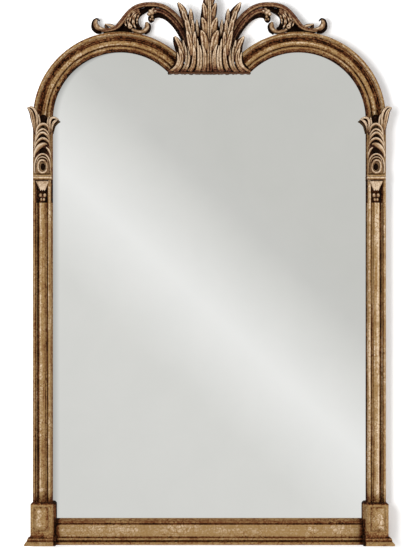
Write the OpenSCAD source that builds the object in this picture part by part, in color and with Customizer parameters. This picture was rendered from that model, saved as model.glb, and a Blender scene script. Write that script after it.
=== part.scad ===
// Wall mirror with two arches, plinth blocks, carved consoles and a carved crest.
// X runs to the right, Y to the back and Z up. The front face of the glass lies in the plane Y = 0,
// the undersides of the feet and of the base rail in the plane Z = 0.

/* [Opening] */
// Width between the inner edges of the stiles
opening_w = 588; // [480:1:680]
// Height of the springing of the arches above the underside
spring_h = 798; // [720:1:1000]
// Height of the straight edge under the crest above the springing
valley_rise = 87; // [72:1:96]
// Half the width of the straight edge under the crest
valley_half = 75.7; // [66:0.1:86]

/* [Moulding] */
// Width of the stile and arch mouldings
mould_w = 37; // [35:0.5:44]
// Height of the border beads in front of the glass
front_d = 16; // [14:0.5:22]
// Depth of the frame behind the face of the glass
back_d = 10; // [9:0.5:16]
// Width of the lip that covers the edge of the glass
lip_w = 8; // [6:0.5:10]
// Thickness of the lip at the sight edge
lip_t = 3; // [2:0.5:5]
// Width of the bevel at the sight edge
bevel_w = 3.2; // [2:0.1:4]
// Radius of the border beads
bead_r = 2.9; // [2.4:0.1:3.2]
// Radius of the thin bead beside each border bead
thin_bead_r = 1.1; // [0.8:0.1:1.3]
// Height of the quirks and hollows in front of the glass
quirk_d = 11; // [9:0.5:12.5]
// Width of the raised flat on a stile
flat_w = 13; // [10:0.5:15]
// Height of the raised flat on a stile
flat_d = 14; // [13:0.5:16]
// Radius of the large round in the arch moulding
ovolo_r = 5; // [4:0.1:5.2]

/* [Base] */
// Height of the base rail
rail_h = 49; // [44:1:60]
// Reach of the rail's flat face in front of the glass
rail_d = 13; // [11:0.5:16]
// Reach of the lip at the foot of the rail in front of the glass
rail_lip_d = 22; // [18:0.5:26]
// Height of the top of the plinth blocks
plinth_h = 80; // [74:1:110]
// Reach of the plinth blocks beyond the outer edges of the stiles
plinth_lap = 3.5; // [2:0.5:8]
// Lean of the inner cheek of each plinth block over the glass
plinth_lean = 7; // [4:0.5:10]
// Reach of the plinth blocks in front of the glass
plinth_d = 34; // [26:0.5:44]
// Width of the chamfers on the plinth blocks
plinth_chamfer = 3; // [1:0.5:5]
// Height of the foot under each plinth block
foot_h = 19.5; // [17:0.5:26]
// Flare of the foot beyond the plinth block
foot_flare = 11; // [8:0.5:16]
// Height of the slab at the bottom of the foot
slab_h = 7; // [5:0.5:9]
// Width of the raised panel on each plinth block
panel_w = 26; // [20:0.5:30]
// Height of the raised panel on each plinth block
panel_h = 44; // [34:0.5:50]
// Rise of the raised panel above its bed
panel_rise = 5; // [3:0.5:7]
// Depth of the bed cut for the raised panel
panel_bed = 1.5; // [1:0.25:3]
// Width of the groove round the raised panel
panel_groove = 1.2; // [0.8:0.1:2]

/* [Glass] */
// Thickness of the mirror glass
glass_t = 4; // [3:0.5:4.5]
// Thickness of the backing board
board_t = 3; // [2.5:0.5:3.5]
// Clearance round the edge of the glass
glass_fit = 0.5; // [0.5:0.25:2]
// Width of each flat point that holds the board
point_w = 10; // [6:0.5:14]
// Length of each flat point
point_len = 14; // [10:0.5:18]
// Thickness of each flat point
point_t = 0.8; // [0.6:0.1:1.2]
// Length of each flat point that is driven into the frame
point_set = 5; // [3:0.5:6]

/* [Console] */
// Depth of the underside of the console ledge below the springing
ledge_drop = 114; // [112:1:200]
// Thickness of the console ledge
ledge_t = 8; // [6:0.5:9]
// Reach of the console ledge in front of the glass
ledge_d = 30; // [26:0.5:34]
// Width of the console ledge
ledge_w = 34; // [30:0.5:36]
// Reach of the flat head of the stile in front of the glass
head_d = 12; // [11:0.5:13]
// Height of the scrolled part of the console
scroll_h = 92; // [92:1:96]
// Width of the body of the console
console_w = 24; // [20:0.5:28]
// Reach of the console in front of the stile head, at its top
console_d = 24; // [20:0.5:28]
// Radius of the console crescents, to the middle of the strand
crescent_r = 12.5; // [11:0.5:13]
// Radius of the strand of a console crescent
strand_r = 4; // [3:0.25:4.5]
// Length of the sunk pocket for the husk drop
pocket_h = 43; // [38:1:60]
// Width of the sunk pocket for the husk drop
pocket_w = 21; // [18:0.5:22]

/* [Crest] */
// Reach of the crest backboard in front of the glass
crest_board_d = 14; // [12:0.5:16]
// Half the width of the crest backboard at its top
crest_board_top = 14; // [10:0.5:18]
// Height of the crest backboard above the straight edge
crest_board_h = 98; // [90:1:110]
// Half the width of the palmette at its foot
palmette_half = 79; // [70:1:84]
// Height of the centre leaf above the straight edge
centre_leaf_h = 167; // [150:1:190]
// Height of the inner leaves above the straight edge
inner_leaf_h = 132; // [120:1:140]
// Height of the outer leaves above the straight edge
outer_leaf_h = 70; // [60:1:76]
// Seam between neighbouring carved pieces
seam = 0.2; // [0.1:0.05:0.3]
// Reach of the scrolls in front of the glass
scroll_front = 12; // [10:0.5:14]
// Reach of the scrolls behind the face of the glass
scroll_back = 8; // [6:0.5:9]

/* [Hangers] */
// Depth of the hanger barrels below the springing
hanger_drop = 78; // [40:1:200]
// Diameter of the hanger ring wire
wire_d = 3; // [2.5:0.1:3.5]
// Clearance of the wire in its barrel, on the radius
wire_fit = 0.05; // [0.03:0.01:0.08]
// Half the width of the hanger ring, to the middle of the wire
ring_half = 12; // [11:0.5:13]
// Length of the straight sides of the hanger ring
ring_side = 8; // [6:0.5:9]
// Width of the hanger strap
strap_w = 16; // [13:0.5:18]
// Length of the hanger strap below its barrel
strap_len = 52; // [50:1:60]
// Thickness of the hanger strap
strap_t = 1.2; // [0.9:0.1:1.3]
// Length of the hanger barrel
barrel_len = 14; // [11:0.5:16]
// Diameter of the hanger screws
hanger_screw_d = 3.8; // [3.2:0.1:4.2]
// Length of the hanger screws
hanger_screw_len = 16; // [12:0.5:18]
// Diameter of the wall bumpers
bumper_d = 16; // [12:0.5:20]

/* [Joinery] */
// Diameter of the frame dowels
dowel_d = 8; // [6:0.5:8]
// Length of the frame dowels
dowel_len = 40; // [30:1:44]
// Diameter of the dowels at the crest
crest_dowel_d = 6; // [4:0.5:6]
// Length of the dowels at the crest
crest_dowel_len = 22; // [16:1:24]
// Diameter of the screws that hold the carved leaves
crest_screw_d = 4; // [3:0.1:4.5]
// Length of the screws that hold the carved leaves
crest_screw_len = 34; // [30:0.5:36]
// Clearance of dowels and screws in their holes, on the radius
hole_fit = 0.1; // [0.05:0.05:0.2]

/* [Hidden] */
$fn = 48;

gold = [0.68, 0.54, 0.36];
pale_gold = [0.76, 0.62, 0.44];
dark_gold = [0.5, 0.38, 0.24];
bare_wood = [0.72, 0.58, 0.42];
steel = [0.72, 0.72, 0.74];

valley_h = spring_h + valley_rise;
ledge_h = spring_h - ledge_drop;
hanger_h = spring_h - hanger_drop;
sight_x = opening_w / 2;
stile_cx = sight_x + mould_w / 2;
rebate_x = sight_x + lip_w;

// Each arch springs upright from its stile and passes through the end of the straight edge
arch_cx = (pow(sight_x, 2) - pow(valley_rise, 2) - pow(valley_half, 2)) / (2 * (sight_x - valley_half));
r_in = sight_x - arch_cx;
r_out = r_in + mould_w;
valley_angle = asin(valley_rise / r_in);

glass_z = rail_h - lip_w + glass_fit;
board_back = glass_t + board_t;
plinth_in = sight_x - plinth_lean;
plinth_out = sight_x + mould_w + plinth_lap;
panel_cx = (sight_x + plinth_out) / 2;
panel_z = (foot_h + plinth_h) / 2;
big = 2000;

// Points at which the border beads, thin beads and flat of the stile sit, from the sight edge outwards
inner_bead_u = bevel_w + bead_r;
outer_bead_u = mould_w - bead_r;
flat_u = (inner_bead_u + outer_bead_u) / 2;
flat_corner_r = flat_d - quirk_d;
ovolo_gap = 2.6;
ovolo_u = inner_bead_u + bead_r + ovolo_gap + ovolo_r;

// Dowels in the stile ends and the rail ends, from the sight edge outwards, and their height behind the face
dowel_us = [14, 28];
dowel_y = -1;
rail_dowel_zs = [10, 30];
crest_dowel_y = -5;
crest_dowel_u = 26;

// Spots on the backboard for the screws that hold the leaves, from the middle and above the straight edge
screw_head_r = 4;
screw_head_t = 2.4;
centre_screws = [[0, 22], [0, 76]];
inner_screw = [-28.5, 32];
outer_screw = [-46, 17];

// Hangers: the wire clears the strap by this much when the ring hangs
ring_rest = 0.3;
wire_r = wire_d / 2;
barrel_y = back_d + strap_t + ring_rest + wire_r;
barrel_r = barrel_y - back_d;
hanger_x = (rebate_x + sight_x + mould_w) / 2;
ring_drop = ring_side + ring_half;
hanger_screw_drops = [ring_drop + wire_r + 5.5, ring_drop + wire_r + 22];
wall_y = barrel_y + barrel_r;

// Mirrored pair: the left one as drawn, the right one turned over
module on_side(side) {
    if (side < 0) children();
    else mirror([1, 0, 0]) children();
}

// Draws a flat outline of X and Z and gives it depth between two places on Y
module upright(front, back) {
    translate([0, back, 0])
        rotate([90, 0, 0])
            linear_extrude(back - front)
                children();
}

// Section of the moulding body: a lip with a bevelled sight edge on a plain back
module moulding_body(height) {
    polygon([
        [0, 0], [lip_w, 0], [lip_w, -back_d], [mould_w, -back_d], [mould_w, height], [bevel_w, height], [0, lip_t]
    ]);
}

module raised_bead(u, r, top) {
    translate([u - r, 0]) square([2 * r, top - r]);
    translate([u, top - r]) circle(r);
}

// Stile: border beads, thin beads in the quirks and a raised flat with round shoulders
module stile_section() {
    moulding_body(quirk_d);
    raised_bead(inner_bead_u, bead_r, front_d);
    raised_bead(outer_bead_u, bead_r, front_d);
    raised_bead(inner_bead_u + bead_r + 1.6 * thin_bead_r, thin_bead_r, quirk_d + 2 * thin_bead_r);
    raised_bead(outer_bead_u - bead_r - 1.6 * thin_bead_r, thin_bead_r, quirk_d + 2 * thin_bead_r);
    translate([flat_u - flat_w / 2, 0]) square([flat_w, quirk_d]);
    translate([flat_u - flat_w / 2 + flat_corner_r, 0]) square([flat_w - 2 * flat_corner_r, flat_d]);
    for (side = [-1, 1])
        translate([flat_u + side * (flat_w / 2 - flat_corner_r), quirk_d]) circle(flat_corner_r);
}

// Arch: inner bead, large round, hollow and outer bead
hollow_lap = 0.6;
hollow_lift = 1;
ovolo_sink = 1.5;
arch_bead_step = 3;
module arch_section() {
    hollow_r = (outer_bead_u - bead_r - ovolo_u - ovolo_r) / 2 + hollow_lap;
    hollow_u = outer_bead_u - bead_r - hollow_r + hollow_lap;
    difference() {
        union() {
            moulding_body(quirk_d - 2);
            translate([ovolo_u, -back_d]) square([mould_w - ovolo_u, back_d + front_d - ovolo_sink]);
            translate([ovolo_u - ovolo_r, 0]) square([2 * ovolo_r, quirk_d - 1]);
        }
        translate([ovolo_u - ovolo_r, front_d + 2 - ovolo_sink - ovolo_r]) square([ovolo_r, 2 * ovolo_r]);
        translate([hollow_u, front_d - hollow_lift]) circle(hollow_r);
        translate([ovolo_u, quirk_d + 1]) square([ovolo_r, front_d]);
    }
    translate([ovolo_u, quirk_d - 1.4]) circle(ovolo_r);
    raised_bead(inner_bead_u, bead_r, front_d - arch_bead_step);
    raised_bead(outer_bead_u, bead_r, front_d + hollow_lift);
}

// Outline of the glass, grown by a margin. Its middle keeps clear of the lower ends of the arches.
module glass_outline(grow) {
    half = rebate_x - glass_fit + grow;
    rise = valley_rise + lip_w - glass_fit + grow;
    clear_x = arch_cx - (glass_fit - grow) / sin(valley_angle);
    top_x = clear_x - rise / tan(valley_angle);
    translate([-half, glass_z - grow]) square([2 * half, spring_h - glass_z + grow]);
    translate([0, spring_h]) polygon([[-clear_x, 0], [clear_x, 0], [top_x, rise], [-top_x, rise]]);
    for (side = [-1, 1])
        translate([side * arch_cx, spring_h]) circle(r_in + lip_w - glass_fit + grow, $fn = 144);
}

module glass_rebate() {
    upright(0, back_d + 1) glass_outline(glass_fit);
}

// Places of the flat points as X, Z and the direction in which each is driven
stile_point_zs = [
    for (k = [0 : 3]) let (low = plinth_h + 90, high = spring_h - 80) low + k * (high - low) / 3
];
stile_points = [for (z = stile_point_zs) [-rebate_x, z, 180]];
rail_points = [for (k = [-1 : 1]) [k * sight_x * 0.6, rail_h - lip_w, -90]];
arch_points = [
    for (a = [70, 110, 150])
        [-arch_cx + (r_in + lip_w) * cos(a), spring_h + (r_in + lip_w) * sin(a), a]
];
crest_points = [[0, valley_h + lip_w, 90]];

module flat_point(place, slack) {
    translate([place[0], board_back - slack, place[1]])
        rotate([0, -place[2], 0])
            translate([point_set - point_len, 0, -point_w / 2 - slack])
                cube([point_len + slack, point_t + 2 * slack, point_w + 2 * slack]);
}

module flat_points(places, slack) {
    for (place = places) flat_point(place, slack);
}

// Dowels and their holes
module upright_dowels(z, grow, extra) {
    for (u = dowel_us)
        translate([-sight_x - u, dowel_y, z - dowel_len / 2 - extra])
            cylinder(r = dowel_d / 2 + grow, h = dowel_len + 2 * extra);
}

module rail_dowels(grow, extra) {
    for (z = rail_dowel_zs)
        translate([-plinth_in - dowel_len / 2 - extra, dowel_y, z])
            rotate([0, 90, 0])
                cylinder(r = dowel_d / 2 + grow, h = dowel_len + 2 * extra);
}

module crest_dowel(grow, extra) {
    r = r_in + crest_dowel_u;
    translate([-arch_cx + r * cos(valley_angle), crest_dowel_y, spring_h + r * sin(valley_angle)])
        rotate([0, -valley_angle, 0])
            translate([0, 0, -crest_dowel_len / 2 - extra])
                cylinder(r = crest_dowel_d / 2 + grow, h = crest_dowel_len + 2 * extra);
}

// Left stile, with the sunk pocket under the ledge and the flat head above it
module stile() {
    color(gold)
        difference() {
            union() {
                translate([-sight_x, 0, plinth_h])
                    rotate([0, 0, 180])
                        linear_extrude(ledge_h - plinth_h)
                            stile_section();
                translate([-sight_x, 0, ledge_h])
                    rotate([0, 0, 180])
                        linear_extrude(spring_h - ledge_h)
                            moulding_body(head_d);
            }
            translate([-sight_x - flat_u - pocket_w / 2, -big, ledge_h - pocket_h])
                cube([pocket_w, big - quirk_d + 1, pocket_h]);
            upright_dowels(plinth_h, hole_fit, hole_fit);
            upright_dowels(spring_h, hole_fit, hole_fit);
            flat_points(stile_points, hole_fit);
            for (drop = hanger_screw_drops)
                translate([-hanger_x, back_d + 1, hanger_h - drop])
                    rotate([90, 0, 0])
                        cylinder(r = hanger_screw_d / 2 + hole_fit, h = hanger_screw_len + 1);
        }
}

// Base rail: sight bevel, bead, tall flat with a hollow, and a stepped foot
rail_bevel_h = 4.6;
rail_bead_r = 2.3;
rail_step_z = 9;
rail_step_h = 3.5;
rail_step_d = 4;
rail_nose_r = 2.8;
rail_hollow_r = 17.5;
rail_hollow_depth = 1.5;
rail_hollow_z = 26;
module rail_section() {
    bevel_z = rail_h - rail_bevel_h;
    difference() {
        union() {
            polygon([
                [-back_d, 0], [rail_d, 0], [rail_d, bevel_z - rail_bead_r], [rail_d - 1, bevel_z], [lip_t, rail_h],
                [0, rail_h], [0, rail_h - lip_w], [-back_d, rail_h - lip_w]
            ]);
            translate([rail_d, bevel_z - rail_bead_r]) circle(rail_bead_r);
            translate([0, rail_step_z]) square([rail_d + rail_step_d, rail_step_h]);
            square([rail_lip_d - rail_nose_r, 2 * rail_nose_r]);
            translate([rail_lip_d - rail_nose_r, rail_nose_r]) circle(rail_nose_r);
        }
        translate([rail_d + rail_hollow_r - rail_hollow_depth, rail_hollow_z]) circle(rail_hollow_r, $fn = 144);
    }
}

module base_rail() {
    color(gold)
        difference() {
            translate([plinth_in, 0, 0])
                rotate([90, 0, -90])
                    linear_extrude(2 * plinth_in)
                        rail_section();
            for (side = [-1, 1])
                on_side(side) rail_dowels(hole_fit, hole_fit);
            flat_points(rail_points, hole_fit);
        }
}

module arch() {
    color(gold)
        difference() {
            translate([-arch_cx, 0, spring_h])
                rotate([90, 0, 0])
                    rotate([0, 0, valley_angle])
                        rotate_extrude(angle = 180 - valley_angle, $fn = 144)
                            translate([r_in, 0])
                                arch_section();
            upright_dowels(spring_h, hole_fit, hole_fit);
            crest_dowel(hole_fit, hole_fit);
            flat_points(arch_points, hole_fit);
        }
}

// Plinth block: chamfered on its top and its front, rebated at the back for the corner of the glass
module block_front_outline() {
    c = plinth_chamfer;
    polygon([
        [-plinth_out, foot_h], [-plinth_in, foot_h], [-plinth_in, plinth_h - c], [-plinth_in - c, plinth_h],
        [-plinth_out + c, plinth_h], [-plinth_out, plinth_h - c]
    ]);
}

module block_plan() {
    c = plinth_chamfer;
    polygon([
        [-plinth_out, back_d], [-plinth_in, back_d], [-plinth_in, -rail_d], [-sight_x, -plinth_d + c],
        [-sight_x - c, -plinth_d], [-plinth_out + c, -plinth_d], [-plinth_out, -plinth_d + c]
    ]);
}

module plinth_block() {
    color(gold)
        difference() {
            intersection() {
                upright(-plinth_d, back_d) block_front_outline();
                linear_extrude(plinth_h) block_plan();
            }
            translate([-panel_cx - panel_w / 2 - panel_groove, -plinth_d - 1, panel_z - panel_h / 2 - panel_groove])
                cube([panel_w + 2 * panel_groove, panel_bed + 1, panel_h + 2 * panel_groove]);
            glass_rebate();
            upright_dowels(plinth_h, hole_fit, hole_fit);
            rail_dowels(hole_fit, hole_fit);
        }
}

// Raised panel: a plain rim and four bevels that meet a flat field
panel_rim = 1;
panel_slope = 7;
module plinth_panel() {
    rim = panel_rim;
    slope = panel_slope;
    color(pale_gold)
        translate([-panel_cx, -plinth_d + panel_bed, panel_z])
            intersection() {
                translate([0, 0, -panel_h / 2])
                    linear_extrude(panel_h)
                        polygon([
                            [-panel_w / 2, 0], [-panel_w / 2, -rim], [-panel_w / 2 + slope, -panel_rise],
                            [panel_w / 2 - slope, -panel_rise], [panel_w / 2, -rim], [panel_w / 2, 0]
                        ]);
                translate([panel_w / 2, 0, 0])
                    rotate([90, 0, -90])
                        linear_extrude(panel_w)
                            polygon([
                                [0, -panel_h / 2], [rim, -panel_h / 2], [panel_rise, -panel_h / 2 + slope],
                                [panel_rise, panel_h / 2 - slope], [rim, panel_h / 2], [0, panel_h / 2]
                            ]);
            }
}

// Foot: a slab with a sloping top, a quirk, a fillet and a hollow that runs up to the block
fillet_h = 4.6;
foot_quirk = 1.6;
slab_edge = 0.8;
slab_flare = 0.7 * foot_flare;
quirk_flare = 0.46 * foot_flare;
fillet_flare = 0.5 * foot_flare;
fillet_nose_flare = 0.56 * foot_flare;
cove_flare = 0.4 * foot_flare;
module foot_steps(reach) {
    fillet_z = slab_h + foot_quirk;
    cove_z = fillet_z + fillet_h;
    cove = foot_h - cove_z;
    difference() {
        union() {
            polygon([
                [0, 0], [reach + foot_flare - slab_edge, 0], [reach + foot_flare, slab_edge],
                [reach + foot_flare, slab_h / 2], [reach + slab_flare, slab_h],
                [reach + quirk_flare, slab_h + foot_quirk / 4], [0, slab_h + foot_quirk]
            ]);
            square([reach + quirk_flare, cove_z]);
            translate([0, fillet_z]) square([reach + fillet_nose_flare, fillet_h / 2]);
            translate([0, fillet_z]) square([reach + fillet_flare, fillet_h]);
            translate([0, cove_z - 1]) square([reach + cove_flare, cove + 1]);
        }
        translate([reach + cove, foot_h]) circle(cove, $fn = 96);
    }
}

module plinth_foot() {
    color(gold)
        difference() {
            intersection() {
                upright(-big, big)
                    translate([-plinth_out, 0])
                        mirror([1, 0])
                            union() {
                                foot_steps(0);
                                translate([plinth_in - plinth_out, 0]) square([plinth_out - plinth_in, foot_h]);
                            }
                translate([big, 0, 0])
                    rotate([90, 0, -90])
                        linear_extrude(2 * big)
                            union() {
                                foot_steps(plinth_d);
                                translate([-back_d, 0]) square([back_d + 1, foot_h]);
                            }
            }
            rail_dowels(hole_fit, hole_fit);
        }
}

// Scroll console: a body that swells towards its top, overlapping crescents and the oval ring at its foot
scroll_z = ledge_h + ledge_t;
ring_r = 10;
ring_rise = 7;
ring_tube = 3;
ring_eye_r = 3.4;
ring_front = 11;
eye_floor = 4;
body_z = 20;
foot_reach = 9;
crescent_zs = [for (k = [0 : 5]) 34 + 11.5 * k];
notch_zs = [42, 68];
notch_half = 3.4;
notch_h = 8;
notch_floor = 5;

function console_reach(z) = foot_reach + (console_d - foot_reach) * pow(sin(90 * z / scroll_h), 1.5);

module console_side() {
    steps = 10;
    polygon(concat(
        [[0, scroll_h], [0, body_z]],
        [for (k = [0 : steps]) let (z = body_z + (scroll_h - body_z) * k / steps) [console_reach(z), z]]
    ));
}

module console_scroll() {
    color(gold)
        translate([-stile_cx, -head_d, scroll_z])
            difference() {
                union() {
                    translate([console_w / 2, 0, 0])
                        rotate([90, 0, -90])
                            linear_extrude(console_w)
                                console_side();
                    for (z = crescent_zs)
                        translate([0, 1 - console_reach(z), z - crescent_r]) {
                            rotate([90, 0, 0])
                                rotate_extrude(angle = 180)
                                    translate([crescent_r, 0])
                                        circle(strand_r, $fn = 24);
                            for (side = [-1, 1])
                                translate([side * crescent_r, 0, 0]) sphere(strand_r, $fn = 24);
                        }
                    rotate([90, 0, 0])
                        linear_extrude(ring_front)
                            union() {
                                translate([0, ring_r]) circle(ring_r);
                                translate([0, ring_r + ring_rise]) circle(ring_r);
                                translate([-ring_r, ring_r]) square([2 * ring_r, ring_rise]);
                            }
                    translate([0, -ring_front, ring_r + ring_rise / 2])
                        rotate([90, 0, 0])
                            rotate_extrude()
                                translate([ring_r - ring_tube, 0])
                                    circle(ring_tube, $fn = 24);
                }
                translate([0, -eye_floor, ring_r + ring_rise / 2])
                    rotate([90, 0, 0])
                        cylinder(r = ring_eye_r, h = console_d);
                for (z = notch_zs)
                    translate([0, -notch_floor, z])
                        rotate([90, 0, 0])
                            linear_extrude(2 * console_d)
                                polygon([[-notch_half, 0], [notch_half, 0], [0, notch_h]]);
                translate([-big / 2, 0, -1]) cube([big, big, scroll_h + 40]);
                translate([-big / 2, -big / 2, scroll_h]) cube([big, big, 40]);
            }
}

// Leaf on top of the console: two curling tips with a hollow between them
leaf_z = scroll_z + scroll_h;
outer_tip = [[-4, -2, 7], [-10, 9, 8], [-17, 21, 7], [-23, 31, 5], [-27, 37, 2]];
inner_tip = [[4, -2, 7], [10, 4, 8], [18, 11, 7], [26, 15, 5], [31, 13.5, 2]];
middle_tip = [[0, -3, 9], [0, 7, 9], [-1, 15, 6], [-1, 22, 3]];
tip_root_d = 12;
tip_root_half = 11;
tip_end_half = 3;

module tip_chain(path, base_y, grow_y, depth) {
    last = len(path) - 1;
    for (k = [0 : last - 1])
        hull() {
            for (j = [k, k + 1])
                translate([path[j][0], -base_y - grow_y * j / last, path[j][1]])
                    scale([path[j][2], depth - (depth - tip_end_half) * j / last, path[j][2]])
                        sphere(1, $fn = 10);
        }
}

module console_leaf() {
    color(pale_gold)
        translate([-stile_cx, 0, leaf_z])
            difference() {
                union() {
                    tip_chain(outer_tip, head_d + tip_root_d, 8, tip_root_half);
                    tip_chain(inner_tip, head_d + tip_root_d, 10, tip_root_half);
                    tip_chain(middle_tip, head_d + tip_root_d - 3, -2, tip_root_half - 2);
                }
                translate([-big / 2, -head_d, -big / 2]) cube([big, big, big]);
                translate([-big / 2, -front_d - 2.5, spring_h - leaf_z - seam]) cube([big, big, big]);
                translate([-big / 2, -big / 2, -big]) cube([big, big, big]);
            }
}

// Ledge under the console: a fillet over a round nose
module console_ledge() {
    nose = ledge_t * 0.36;
    color(pale_gold)
        translate([-stile_cx + ledge_w / 2, 0, ledge_h])
            rotate([90, 0, -90])
                linear_extrude(ledge_w)
                    union() {
                        translate([head_d, 0]) square([ledge_d - head_d - nose, ledge_t]);
                        translate([ledge_d - nose, nose]) circle(nose);
                        translate([head_d, 2 * nose]) square([ledge_d - head_d - 1, ledge_t - 2 * nose]);
                    }
}

// Bell and two beads that hang in the pocket
bell_h = 20;
bell_r = 13.5;
neck_r = 5;
husk_y = -front_d;
bead_zs = [28.5, 37.5];
bead_tube = 2.6;

module husk_bead(r) {
    rotate_extrude()
        union() {
            translate([0, -bead_tube]) square([r - bead_tube, 2 * bead_tube]);
            translate([r - bead_tube, 0]) circle(bead_tube, $fn = 24);
        }
}

module husk_drop() {
    floor_y = -quirk_d + 1;
    color(pale_gold)
        translate([-stile_cx - (flat_u - mould_w / 2), 0, ledge_h])
            intersection() {
                translate([0, husk_y, 0])
                    union() {
                        translate([0, 0, -bell_h]) cylinder(r1 = neck_r, r2 = bell_r, h = bell_h);
                        translate([0, 0, -bead_zs[1]]) cylinder(r = 2.2, h = bead_zs[1] - bell_h + 1);
                        translate([0, 0, -bead_zs[0]]) husk_bead(5.6);
                        translate([0, 0, -bead_zs[1]]) husk_bead(5.3);
                    }
                union() {
                    translate([-big / 2, -big, -big / 2]) cube([big, big - front_d, big]);
                    translate([-pocket_w / 2 + seam, -big, -pocket_h + seam])
                        cube([pocket_w - 2 * seam, big + floor_y, pocket_h]);
                }
            }
}

// Curve through hand-set points of the form [x, z, half width], with one end point more on each side
function spline(p, q, r, s, t) = 0.5 * (
    2 * q + (r - p) * t + (2 * p - 5 * q + 4 * r - s) * t * t + (3 * q - p - 3 * r + s) * t * t * t
);
function curve(points, steps) = let (last = len(points) - 1) concat(
    [
        for (k = [0 : last - 1], j = [0 : steps - 1])
            spline(
                k == 0 ? 2 * points[0] - points[1] : points[k - 1], points[k], points[k + 1],
                k == last - 1 ? 2 * points[last] - points[last - 1] : points[k + 2], j / steps
            )
    ],
    [points[last]]
);

// Point above the left arch, from a run along its outer edge, which starts at the crest, and a height above it
function above_arch(run, rise, half) = let (angle = valley_angle + run * 180 / (PI * r_out))
    [-arch_cx + (r_out + rise) * cos(angle), spring_h + (r_out + rise) * sin(angle), half];

// Tube with a rounded section that follows a curve in the plane of the mirror
sweep_sides = 8;
function heading(path, k) = let (
    a = path[max(k - 1, 0)], b = path[min(k + 1, len(path) - 1)]
) atan2(b[1] - a[1], b[0] - a[0]);
function soft(v) = sign(v) * pow(abs(v), 0.75);
function sweep_ring(p, angle, front, back, grow) = [
    for (i = [0 : sweep_sides - 1]) let (
        a = 360 * i / sweep_sides,
        w = (p[2] + grow) * soft(cos(a)),
        y = (back - front) / 2 - ((front + back) / 2 + grow) * soft(sin(a))
    ) [p[0] + w * sin(angle), y, p[1] - w * cos(angle)]
];
module sweep(path, front, back, grow = 0, end = undef) {
    n = sweep_sides;
    last = len(path) - 1;
    points = [
        for (k = [0 : last]) let (turn = k == last && end != undef ? end : heading(path, k))
            each sweep_ring(path[k], turn, front, back, grow)
    ];
    sides = [
        for (k = [0 : last - 1], i = [0 : n - 1]) let (
            a = k * n + i, b = k * n + (i + 1) % n, c = a + n, d = b + n
        ) each [[a, b, d], [a, d, c]]
    ];
    caps = [for (i = [1 : n - 2]) each [[0, i + 1, i], [last * n, last * n + i, last * n + i + 1]]];
    polyhedron(points, concat(sides, caps));
}

// Scroll arm: from the shoulder of the backboard over to the bud
arm_points = [
    above_arch(7.2, 22.5, 8.6), above_arch(34.3, 37.5, 9.4), above_arch(52.9, 48.5, 8.8),
    above_arch(68.3, 55, 8), above_arch(80.3, 57.2, 7.6), above_arch(87.7, 54.4, 7.2), above_arch(88.3, 48.5, 6.8)
];
arm_path = curve(arm_points, 3);
arm_start = arm_path[0];
arm_start_heading = heading(arm_path, 0);
arm_end = arm_path[len(arm_path) - 1];

module arm_sweep(grow) {
    sweep(arm_path, scroll_front, scroll_back, grow, -90);
}

module scroll_arm() {
    color(gold) arm_sweep(0);
}

// Bud at the end of the arm: a collar, a cap and a ball
bud_neck_r = 5;
bud_neck_h = 4;
bud_cap_r = 7;
bud_cap_h = 4;
bud_ball_r = 6.2;
bud_ball_z = 13;
module scroll_bud() {
    color(pale_gold)
        translate([arm_end[0], (scroll_back - scroll_front) / 2, arm_end[1]])
            union() {
                translate([0, 0, -bud_neck_h]) cylinder(r1 = bud_cap_r - 0.6, r2 = bud_neck_r, h = bud_neck_h);
                translate([0, 0, -bud_neck_h - bud_cap_h]) cylinder(r = bud_cap_r, h = bud_cap_h + 0.6);
                translate([0, 0, -bud_ball_z]) sphere(bud_ball_r);
                translate([0, 0, -bud_ball_z - bud_ball_r - 0.8]) cylinder(r1 = 1.6, r2 = 3.6, h = 3);
            }
}

// Scroll band: over the bud, down to the arch and out into an end volute
band_points = [
    above_arch(85.4, 58.6, 3.6), above_arch(94, 54.5, 5), above_arch(106.5, 48.3, 5.4), above_arch(116.2, 38.5, 5.6),
    above_arch(126.8, 24.5, 5.2), above_arch(137.1, 11, 5), above_arch(151.3, 4.2, 4.6), above_arch(171, 4.4, 4.6),
    above_arch(180.2, 11.5, 6.6), above_arch(176.2, 21.5, 6), above_arch(168.2, 26, 2.6)
];
band_path = curve(band_points, 3);
leaflet_points = [above_arch(149.9, 5, 3), above_arch(156.8, 9, 3.6), above_arch(161.3, 16, 1.4)];

module scroll_band() {
    color(gold)
        difference() {
            union() {
                sweep(band_path, scroll_front - 1, scroll_back);
                sweep(curve(leaflet_points, 2), scroll_front - 3, scroll_back - 4);
            }
            arm_sweep(seam);
            arch_bar();
        }
}

// Round bar that stands for the arch where a carving is seated on it
module arch_bar() {
    translate([-arch_cx, 50, spring_h])
        rotate([90, 0, 0])
            cylinder(r = r_out, h = 100, $fn = 360);
}

// Leaf that hangs inside the band, rolls over the arch and ends in a curl
inner_points = [
    above_arch(108.3, 42, 4.5), above_arch(114.5, 31, 9), above_arch(117.4, 19.5, 10.5), above_arch(114, 8.5, 8.5),
    above_arch(103.1, 3.4, 5), above_arch(90.6, 3.2, 4.8), above_arch(81.4, 8, 5.2), above_arch(83.1, 16.6, 2.4)
];
rosette = above_arch(114, 9, 6);

module scroll_leaf() {
    color(pale_gold)
        difference() {
            union() {
                sweep(curve(inner_points, 3), scroll_front - 2, scroll_back - 2);
                translate([rosette[0], 1 - scroll_front, rosette[1]])
                    rotate([90, 0, 0])
                        rotate_extrude($fn = 24)
                            translate([rosette[2] - 2, 0])
                                circle(2, $fn = 12);
            }
            sweep(band_path, scroll_front - 1, scroll_back, seam);
            arch_bar();
        }
}

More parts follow.
